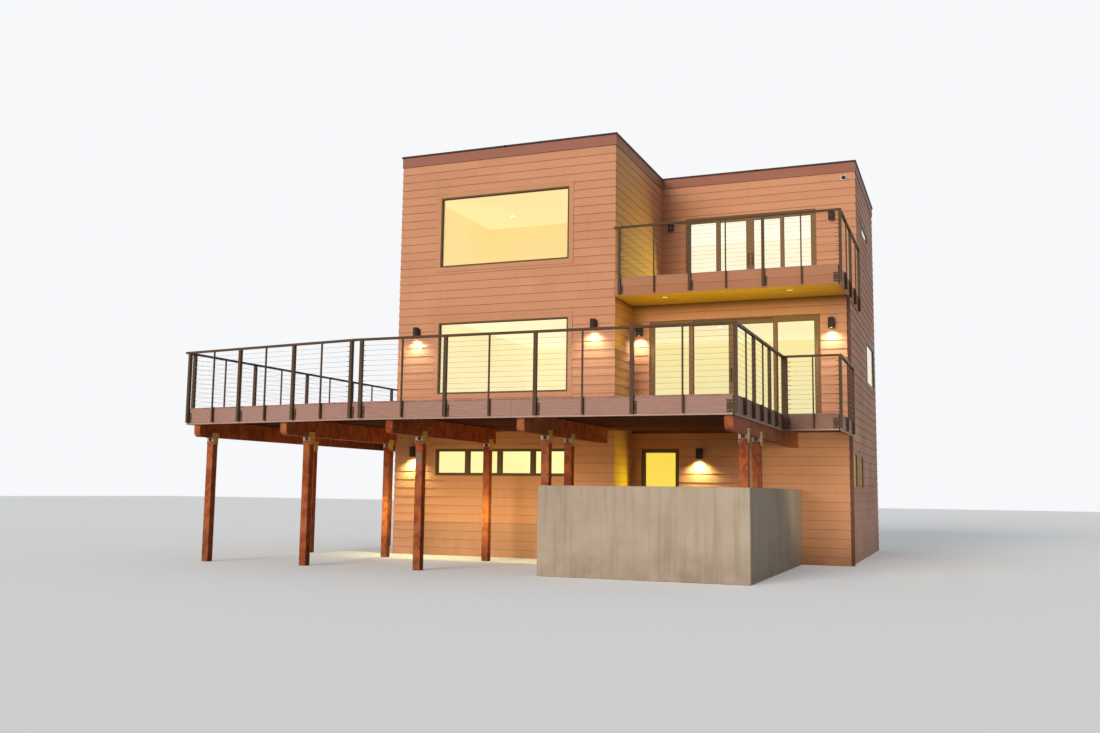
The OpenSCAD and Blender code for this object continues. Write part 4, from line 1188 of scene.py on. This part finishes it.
# Rail cables, their end fittings and the bolts of the post plates
railing = {
    "height": 1.067, "width": 0.057, "railDepth": 0.038, "post": 0.056, "slim": 0.025, "footGap": 0.035,
    "plateWidth": 0.045, "plateHeight": 0.190, "plateThickness": 0.008, "cornerPlate": 0.115,
    "cables": 11, "cableRadius": 0.0020, "cableLine": 0.040,
    "fitting": ((0, 0.008), (0.005, 0.008), (0.007, 0.0050), (0.055, 0.0050), (0.065, 0.0026)),
    "boltSize": 0.012, "boltMargin": 0.035, "cornerBolts": (0.024, 0.080), "slimBolts": (0.05, 0.17),
    "slimMiddle": 0.026,
    # From a run's end, or the corner it meets, to the middle of the post nearest to it
    "startInset": 0.060, "bendInset": 0.102, "sideInset": 0.190, "balconyInset": 0.117,
}


def railRuns():
    # For each run: start, end, floor height, height of the edge board, bays, insets of the first and the
    # last post, the first post with bolts in its face, and the kind of its last one
    bendInset = railing["bendInset"]
    half = railing["post"] / 2
    reach = (railing["post"] + railing["width"]) / 2
    lap = (railing["width"] - railing["post"]) / 2
    first = -railing["width"] / 2
    last = reach - half
    turn = math.atan2(deckPlan["leftSetback"], deckPlan["left"] - deckPlan["bendLeft"])
    sideTurn = math.atan2(leftBack[0] - leftFront[0], leftBack[1] - leftFront[1])
    overlap = reach * (1 - math.sin(turn)) / math.cos(turn)
    sideGap = lap + reach * math.tan(turn)
    frontStart = (leftFront[0] - overlap * math.cos(turn), leftFront[1] + overlap * math.sin(turn))
    sideStart = (leftBack[0], leftBack[1] - lap - reach * math.tan(sideTurn))
    balconyRight = highOf("balcony_boards")[0] - towerRight
    balconyNear = lowOf("balcony_boards")[1] - towerFront
    deck = (deckTop, deckPlan["edgeHeight"])
    upper = (balconyTop, balconyTop - lowOf("balcony_fascia")[2])
    sideEnd = (leftFront[0], leftFront[1] + sideGap)
    walkStart, walkEnd = (walkInner[0] + reach, walkInner[1]), (walkFront[0] + reach, walkFront[1])
    balconyEnd, balconyBack = (balconyRight + reach, balconyNear), (balconyRight, upperFront - towerFront)
    return [
        (frontStart, bend, *deck, 6, overlap + railing["startInset"], bendInset, 0, "plate"),
        (bend, (rightFront[0] + reach, rightFront[1]), *deck, 8, bendInset, last, 0, "corner"),
        (sideStart, sideEnd, *deck, 10, first, railing["sideInset"] - sideGap, 1, "plain"),
        (sideBack, (leftBack[0] - reach, leftBack[1]), *deck, 2, half, last, 0, "corner"),
        ((rightFront[0], rightFront[1] + lap), walkInner, *deck, 6, first, half, 1, "plain"),
        (walkStart, walkEnd, *deck, 2, half, last, 0, "corner"),
        ((walkFront[0], walkFront[1] + lap), walkBack, *deck, 2, first, half, 1, "plain"),
        ((0, balconyNear), balconyEnd, *upper, 6, railing["balconyInset"], last, 0, "corner"),
        ((balconyRight, balconyNear + lap), balconyBack, *upper, 4, first, half, 1, "plain"),
    ]


def railDetails():
    cables = Solids(31)
    fittings = Solids(32)
    bolts = Solids(33)
    spec = railing
    reach = spec["post"] / 2
    rise = (spec["height"] - spec["railDepth"]) / (spec["cables"] + 1)
    for start, end, floorZ, edge, bays, insetA, insetB, firstPost, lastKind in railRuns():
        a = housePoint(*start)
        b = housePoint(*end)
        run = (b - a).normalized()
        out = Vector((run.y, -run.x, 0))
        length = (b - a).length
        step = (length - insetA - insetB) / bays
        foot = floorZ - edge + spec["footGap"]

        def spot(x, outward, height):
            return a + run * x + out * outward + Vector((0, 0, height))

        for k in range(spec["cables"]):
            height = floorZ + rise * (k + 1)
            near = spot(insetA, spec["cableLine"], height)
            far = spot(length - insetB, spec["cableLine"], height)
            cables.tube(near, far, spec["cableRadius"], 6)
            for base, way in ((near, run), (far, -run)):
                fittings.turned(base + way * reach, way, spec["fitting"], 8)
        faceBolts = [insetA + k * step + reach + spec["plateWidth"] / 2 for k in range(0, bays + 1, 2)
                     if k >= firstPost and (k < bays or lastKind == "plate")]
        if lastKind == "corner":
            plateStart = insetA + bays * step - reach - spec["cornerPlate"]
            faceBolts += [plateStart + x for x in spec["cornerBolts"]]
        for x in faceBolts:
            for lift in (spec["boltMargin"], spec["plateHeight"] - spec["boltMargin"]):
                bolts.bolt(spot(x, spec["plateThickness"], foot + lift), out, spec["boltSize"])
        for k in range(1, bays, 2):
            for lift in spec["slimBolts"]:
                for way in (-1, 1):
                    base = spot(insetA + k * step + way * spec["slim"] / 2, spec["slimMiddle"], foot + lift)
                    bolts.bolt(base, run * way, spec["boltSize"] * 0.5)
    cables.piece("rail_cables", cableSteel, "cap_steel", smooth=True)
    fittings.piece("cable_fittings", railMetal, "rail_metal")
    bolts.piece("rail_bolts", boltSteel, "cap_steel")


railDetails()

# Bolts of the post caps as (shifts from the middle, height from the cap's top or foot, size), and blocking
capFixings = {"upper": ((-0.055, 0.055), -0.045, 0.013), "lower": ((-0.035, 0.035), 0.030, 0.012)}
blocking = {"half": 0.019, "drop": 0.006, "leastGap": 0.1, "margin": 0.05, "wallLap": 0.001}


def capBolts():
    bolts = Solids(34)
    for low, high in solidBoxes("post_caps"):
        middle = (low[1] + high[1]) / 2
        for x, way in ((low[0], -1), (high[0], 1)):
            for z, (shifts, lift, size) in ((high[2], capFixings["upper"]), (low[2], capFixings["lower"])):
                for shift in shifts:
                    bolts.bolt((x, middle + shift, z + lift), (way, 0, 0), size)
    bolts.piece("cap_bolts", boltSteel, "cap_steel")


def joistBlocking():
    blocks = Solids(35)
    front = [box for box in solidBoxes("deck_joists") if box[1][1] <= towerFront + blocking["wallLap"]]
    front.sort(key=lambda box: box[0][1])
    for before, after in zip(front, front[1:]):
        gapLow, gapHigh = before[1][1], after[0][1]
        if gapHigh - gapLow < blocking["leastGap"]:
            continue
        left = max(before[0][0], after[0][0]) + blocking["margin"]
        right = min(before[1][0], after[1][0]) - blocking["margin"]
        for low, high in solidBoxes("deck_beams"):
            x = (low[0] + high[0]) / 2
            if left < x < right:
                blocks.block((x - blocking["half"], gapLow, before[0][2]),
                             (x + blocking["half"], gapHigh, before[1][2] - blocking["drop"]))
    blocks.piece("joist_blocking", joistWood, "timber", 0.002)


capBolts()
joistBlocking()
print("rails, caps and joists detailed")

# Window gaskets, door handles and sills
glazing = {"gasket": 0.009, "proud": 0.004}
doorHandle = {
    "radius": 0.011, "length": 0.30, "stand": 0.045, "apart": 0.045, "height": 1.0, "tip": 0.006,
    "legs": (-0.11, 0.11), "legRadius": 0.007,
}
doorSill = {"reach": 0.06, "front": 0.006, "back": 0.02}


def gaskets():
    rings = Solids(41)
    for node in ("front_window_glass", "sliding_door_glass", "side_and_rear_glass"):
        for low, high in solidBoxes(node):
            across, way, _ = innerFaceOf(low, high)
            depths = ((low[across] - glazing["proud"], low[across]) if way > 0
                      else (high[across], high[across] + glazing["proud"]))
            for bar in ringBars(low[1 - across], low[2], high[1 - across], high[2], glazing["gasket"]):
                rings.bar(across, *depths, *bar)
    rings.piece("glazing_gaskets", rubber, "window_frame")


def doorDetails():
    handles = Solids(42)
    sills = Solids(43)
    spec = doorHandle
    long, tip, radius = spec["length"], spec["tip"], spec["radius"]
    for low, high in solidBoxes("sliding_door_frames"):
        middle = (low[0] + high[0]) / 2
        face = (low[1] + high[1]) / 2
        height = low[2] + spec["height"]
        for x in (middle - spec["apart"], middle + spec["apart"]):
            for lift in spec["legs"]:
                z = height + lift
                handles.tube((x, face, z), (x, face - spec["stand"], z), spec["legRadius"], 12)
            handles.turned((x, face - spec["stand"], height - long / 2), (0, 0, 1),
                           [(0, tip), (tip, radius), (long - tip, radius), (long, tip)], 16)
        foot = [(x, y, low[2]) for x, y in rectangle(low[0], low[1] - doorSill["reach"], high[0], low[1])]
        lifts = (doorSill["front"], doorSill["front"], doorSill["back"], doorSill["back"])
        sills.loft([foot, [(x, y, z + lift) for (x, y, z), lift in zip(foot, lifts)]])
    handles.piece("door_handles", frameMetal, "window_frame", smooth=True)
    sills.piece("door_sills", frameMetal, "window_frame", 0.002)


gaskets()
doorDetails()

# Wall lamps: turned shell, open below over a frosted lens, on an arm and a back plate
wallLamp = {
    "radius": 0.065, "height": 0.215, "lensRadius": 0.052, "lensDepth": 0.018, "lensSunk": 0.0005,
    "armWidth": 0.05, "armStart": 0.7, "plate": (0.11, 0.029, 0.15), "crispAngle": 35.0,
}


def wallLamps():
    shells = Solids(51)
    arms = Solids(52)
    lenses = Solids(53)
    darkLenses = Solids(54)
    r, tall, lens, deep = (wallLamp[key] for key in ("radius", "height", "lensRadius", "lensDepth"))
    half = wallLamp["armWidth"] / 2
    width, depth, height = wallLamp["plate"]
    shellProfile = [
        (0, 0.001), (0.0, r * 0.9), (0.004, r * 0.97), (0.012, r), (0.028, r), (0.030, r - 0.003),
        (0.034, r - 0.003), (0.036, r), (tall - 0.004, r), (tall, r - 0.003), (tall, lens + 0.004),
        (tall - deep, lens), (tall - deep, 0.001)]
    lensProfile = [(0, lens), (0.004, lens * 0.93), (0.007, 0.02)]
    places = []
    for low, high in solidBoxes("wall_lamps"):
        x = (low[0] + high[0]) / 2
        y = low[1] + r
        z = (low[2] + high[2]) / 2
        wallY = high[1]
        bottom = z - tall / 2
        shells.turned((x, y, z + tall / 2), (0, 0, -1), shellProfile, 40)
        arms.block((x - half, y + r * wallLamp["armStart"], z - half), (x + half, wallY, z + half))
        arms.block((x - width / 2, wallY - depth, z - height / 2), (x + width / 2, wallY, z + height / 2))
        lit = z < balconyTop    # the two on the balcony are off
        lensPlace = (x, y, bottom + deep - wallLamp["lensSunk"])
        (lenses if lit else darkLenses).turned(lensPlace, (0, 0, -1), lensProfile, 32)
        if lit:
            places.append((x, y, bottom))
    shell = shells.piece("lamp_shells", lampMetal, "lamp_metal", smooth=True)
    sharpen = shell.modifiers.new("crispRims", "EDGE_SPLIT")
    sharpen.split_angle = math.radians(wallLamp["crispAngle"])
    arms.piece("lamp_arms", lampMetal, "lamp_metal", 0.003)
    lenses.piece("lamp_lenses", lampGlow, "lamp_metal")
    darkLenses.piece("unlit_lenses", unlitLens, "lamp_metal")
    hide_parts("wall_lamps")
    return places


lampPlaces = wallLamps()

# Bare number plate on the front post, with two screws
numberPlate = {
    "width": 0.108, "thickness": 0.003, "low": 1.816, "high": 2.044,
    "screw": 0.006, "margin": 0.016, "postLeft": 2.265,
}


def postPlate():
    spec = numberPlate
    line = towerRight - spec["postLeft"]
    # The post nearest that line and the front
    low, high = min(solidBoxes("deck_posts"),
                    key=lambda box: 0.5 * box[0][1] + abs((box[0][0] + box[1][0]) / 2 - line))
    x = (low[0] + high[0]) / 2
    y = low[1]
    half = spec["width"] / 2
    face = y - spec["thickness"]
    size = spec["screw"]
    plate = Solids(55)
    plate.block((x - half, face, spec["low"]), (x + half, y, spec["high"]))
    plate.piece("post_plate", plateMetal, "cap_steel", 0.0012)
    screws = Solids(56)
    for z in (spec["low"] + spec["margin"], spec["high"] - spec["margin"]):
        screws.turned((x, face, z), (0, -1, 0), [(0, size), (0.0015, size * 0.8), (0.002, size * 0.35)], 16)
    screws.piece("plate_screws", boltSteel, "cap_steel")


postPlate()

# Downspout with ribs; bands: straps and a coupling as (height, length, how far they stand out, tone)
spout = {
    "ribs": 3, "ribDepth": 0.006, "steps": 12,
    "bands": ((0.7, 0.03, 0.003, 0.4), (1.75, 0.03, 0.003, 0.4), (3.35, 0.03, 0.003, 0.4),
              (4.75, 0.03, 0.003, 0.4), (2.30, 0.10, 0.006, 0.3)),
}


def downspoutPiece():
    low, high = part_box("downspout")
    pipe = Solids(61)
    outline = []
    for k, (a, b) in enumerate(sidesOf(rectangle(*low.xy, *high.xy))):
        run = Vector(b) - Vector(a)
        inward = Vector((-run.y, run.x)).normalized()
        depth = spout["ribDepth"] if k < 3 else 0.0    # the side against the wall is plain
        for step in range(spout["steps"]):
            share = step / spout["steps"]
            dip = depth * (0.5 - 0.5 * math.cos(2 * math.pi * spout["ribs"] * share))
            outline.append(Vector(a) + run * share + inward * dip)
    pipe.plate(outline, low[2], high[2], 0.5)
    for z, tall, out, tone in spout["bands"]:
        pipe.block((low[0], low[1] - out, z), (high[0] + out, high[1] + out, z + tall), tone)
    made = pipe.piece("ribbed_downspout", spoutMetal, "downspout", 0.001)
    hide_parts("downspout")


# Dome camera under the roof edge
cameraShape = {
    "base": ((0, 0.96), (0.006, 1.0), (0.03, 1.0), (0.038, 0.93), (0.04, 0.8)), "dome": 0.78, "rings": 10,
}


def domeCamera():
    low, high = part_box("dome_camera")
    r = (high[0] - low[0]) / 2
    back = ((low[0] + high[0]) / 2, high[1], (low[2] + high[2]) / 2)
    start = cameraShape["base"][-1][0]
    size = r * cameraShape["dome"]
    shell = Solids(71)
    shell.turned(back, (0, -1, 0), [(along, r * share) for along, share in cameraShape["base"]], 40)
    made = shell.piece("camera_base", cameraShell, "camera_plastic")
    dome = Solids(72)
    turns = [math.pi / 2 * k / cameraShape["rings"] for k in range(cameraShape["rings"])]
    dome.turned(back, (0, -1, 0), [(start + size * math.sin(a), size * math.cos(a)) for a in turns], 40)
    dome.piece("camera_dome", cameraDome, "camera_plastic", smooth=True)
    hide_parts("dome_camera")


downspoutPiece()
domeCamera()
print("fittings made")

# Floor, light and camera
studio = {
    "floorColour": (0.90, 0.89, 0.87), "bounceColour": (0.50, 0.48, 0.46),
    "floorGlow": 0.16, "floorReach": 90.0, "floorDrop": 0.002,
    "skyColour": (0.93, 0.94, 0.96), "fill": 0.34, "fillColour": (0.80, 0.89, 1.0),
    "key": 2.05, "keyAngle": 30.0, "keyFrom": (-0.30, -1.0, 0.34), "keyColour": (1.0, 0.95, 0.89),
    "low": 0.85, "lowAngle": 16.0, "lowFrom": (-0.16, -1.0, 0.12),
    "lampPower": (40.0, 80.0), "lampAngle": 142.0, "lampColours": ((0.98, 1.0, 0.74), (0.94, 1.0, 0.46)),
    "lampForward": 0.03, "lampBelow": 0.01,
    "roomPower": 3.0, "roomColour": (1.0, 0.86, 0.60), "roomDrop": 1.2,
    "spillPower": (27.0, 24.0, 100.0), "spillGap": 0.30, "spillTilt": 0.15,
    "spillHeight": 0.6, "spillLift": 0.1,
    "spillColours": ((0.92, 1.0, 0.03), (0.98, 0.96, 0.04), (0.86, 1.0, 0.14)),
    "soffitPower": 22.0, "soffitColour": (0.98, 0.96, 0.04),
    "underPower": 58.0, "underColour": (1.0, 0.52, 0.12), "footPower": 22.0, "footColour": (1.0, 0.98, 0.25),
    "walkPower": 520.0, "walkColour": (1.0, 0.94, 0.66), "walkPlace": (5.7, -3.4, 2.0),
    "walkFrom": (1.75, -4.6, 0.5), "walkAngle": 40.0,
}


def seenDirectly(tree):
    # 1 for the camera's rays and those that come by a mirroring or a clear surface
    path = place(tree, "ShaderNodeLightPath")
    camera, glossy, clear = (Wire(tree, path.outputs[name])
                             for name in ("Is Camera Ray", "Is Glossy Ray", "Is Transmission Ray"))
    return camera.math("MAXIMUM", glossy).math("MAXIMUM", clear)


def studioFloor():
    # Pale to the eye, softer in what it throws back up
    material, surface, where = newMaterial("studioFloor")
    direct = seenDirectly(where.tree)
    pale = studio["floorColour"]
    coat(surface, direct.mixed(studio["bounceColour"], pale), 0.9, 0.1)
    fill(surface, {"Emission Color": pale, "Emission Strength": direct * studio["floorGlow"]})
    reach = studio["floorReach"]
    mesh = bpy.data.meshes.new("studioFloor")
    mesh.from_pydata([(x, y, 0) for x, y in rectangle(-reach, -reach, reach, reach)], [], [(0, 1, 2, 3)])
    mesh.materials.append(material)
    floor = bpy.data.objects.new("studioFloor", mesh)
    floor.location.z = -studio["floorDrop"]
    bpy.context.collection.objects.link(floor)


def studioWorld():
    world = bpy.data.worlds.new("studioWorld")
    bpy.context.scene.world = world
    world.use_nodes = True
    tree = world.node_tree
    light = fill(tree.nodes["Background"], {"Color": studio["fillColour"], "Strength": studio["fill"]})
    seen = place(tree, "ShaderNodeBackground", {"Color": studio["skyColour"]})
    wires = {1: Wire(tree, light.outputs[0]), 2: Wire(tree, seen.outputs[0])}
    blend = seenDirectly(tree)
    fill(tree.nodes["World Output"], {"Surface": blend.into("MixShader", {0: blend, **wires})})


def addLight(name, kind, energy, colour, where, source=None, hidden=True, **settings):
    # source: the direction that the light comes from; hidden: not mirrored in the panes nor seen through them
    data = bpy.data.lights.new(name, kind)
    data.energy = energy
    data.color = colour
    for key, value in settings.items():
        setattr(data, key, value)
    lamp = bpy.data.objects.new(name, data)
    lamp.location = where
    if source:
        lamp.rotation_mode = "QUATERNION"
        lamp.rotation_quaternion = Vector(source).to_track_quat("Z", "Y")
    if hidden:
        lamp.visible_camera = False
        lamp.visible_transmission = False
        lamp.visible_glossy = False
    bpy.context.collection.objects.link(lamp)


def addSpill(name, where, source, size, energy, colour):
    addLight(name, "AREA", energy, colour, where, source, shape="RECTANGLE", size=size[0], size_y=size[1])


def studioLights():
    # A soft key from the front, and a weaker one near the horizon that reaches under the deck
    for key in ("key", "low"):
        addLight(key + "Light", "SUN", studio[key], studio["keyColour"], (0, 0, 30), studio[key + "From"],
                 angle=math.radians(studio[key + "Angle"]))
    for number, (x, y, z) in enumerate(lampPlaces):
        below = z < deckTop    # brighter and yellower under the deck
        addLight(f"wallLampLight{number}", "SPOT", studio["lampPower"][below], studio["lampColours"][below],
                 (x, y - studio["lampForward"], z - studio["lampBelow"]), hidden=False,
                 spot_size=math.radians(studio["lampAngle"]), spot_blend=0.9, shadow_soft_size=0.05)
    upperRoomMiddle = (innerFront + partitionFront) / 2 - towerFront
    rooms = [(-2.5, upperRoomMiddle, underRoof), (2.1, 5.6, underRoof), (-2.5, 2.4, underUpper),
             (2.1, 4.4, underUpper), (-2.5, 2.4, underMiddle), (2.1, 4.0, underMiddle)]
    for number, (x, y, floor) in enumerate(rooms):
        addLight(f"roomLight{number}", "POINT", studio["roomPower"], studio["roomColour"],
                 housePoint(x, y, ceilingUnder(floor) - studio["roomDrop"]), shadow_soft_size=0.3)
    # Room light that spills through the window under the deck and the sliding doors, lowest first
    panes = solidBoxes("sliding_door_frames")
    panes += [box for box in openingBoxes
              if box[0][0] > towerRight and box[0][1] < lowerInner and box[1][2] < deckUnder]
    panes.sort(key=lambda box: box[0][2])
    for number, (low, high) in enumerate(panes):
        tall = (high[2] - low[2]) * studio["spillHeight"]
        where = ((low[0] + high[0]) / 2, low[1] - studio["spillGap"], low[2] + tall / 2 + studio["spillLift"])
        addSpill(f"spillLight{number}", where, (0, 1, studio["spillTilt"] * number), (high[0] - low[0], tall),
                 studio["spillPower"][number], studio["spillColours"][number])
    # What the floors throw back up to the soffit, the beams and the wall under the deck
    right = highOf("balcony_soffit")[0] - towerRight
    bounced = {
        "soffit": ((right / 2, 0.10, soffitBottom - 1.1), (0, -0.1, -1.0), (right - 0.3, 0.5)),
        "under": ((-1.8, -1.9, 0.9), (0, -0.1, -1.0), (7.5, 4.0)),
        "foot": ((-2.5, -1.5, 0.9), (0, -1.0, 0.1), (4.6, 0.6)),
    }
    for key, (where, source, size) in bounced.items():
        power, colour = studio[key + "Power"], studio[key + "Colour"]
        addSpill(key + "Spill", housePoint(*where), source, size, power, colour)
    # Lamplight on the wall beside the concrete
    addLight("walkLight", "SPOT", studio["walkPower"], studio["walkColour"], housePoint(*studio["walkPlace"]),
             studio["walkFrom"], spot_size=math.radians(studio["walkAngle"]), spot_blend=0.8,
             shadow_soft_size=0.4)


def photoCamera():
    # Solved from the photograph: place from the tower's front corner at deck height, angles and lens
    view = {
        "place": (6.732, -20.460, -1.435), "turnLeft": 21.603, "tiltUp": 6.602, "roll": 0.724,
        "focal": 1057.548, "centre": (552.147, 367.413), "picture": (1100, 733), "sensor": 36.0,
    }
    yaw, pitch, roll = (math.radians(view[key]) for key in ("turnLeft", "tiltUp", "roll"))
    forward = Vector((-math.sin(yaw) * math.cos(pitch), math.cos(yaw) * math.cos(pitch), math.sin(pitch)))
    right = Vector((math.cos(yaw), math.sin(yaw), 0.0))
    up = right.cross(forward)
    turnedRight = right * math.cos(roll) + up * math.sin(roll)
    turnedUp = up * math.cos(roll) - right * math.sin(roll)
    data = bpy.data.cameras.new("photoCamera")
    width, height = view["picture"]
    data.sensor_width = view["sensor"]
    data.lens = view["focal"] * view["sensor"] / width
    data.shift_x = -(view["centre"][0] - width / 2) / width
    data.shift_y = (view["centre"][1] - height / 2) / width
    data.clip_end = 500.0
    camera = bpy.data.objects.new("photoCamera", data)
    x, y, z = view["place"]
    turn = Matrix((turnedRight, turnedUp, -forward)).transposed().to_4x4()
    camera.matrix_world = Matrix.Translation(housePoint(x, y, deckTop + z)) @ turn
    bpy.context.collection.objects.link(camera)
    bpy.context.scene.camera = camera


studioFloor()
studioWorld()
studioLights()
photoCamera()
bpy.context.scene.view_settings.view_transform = "Standard"

print("scene ready")
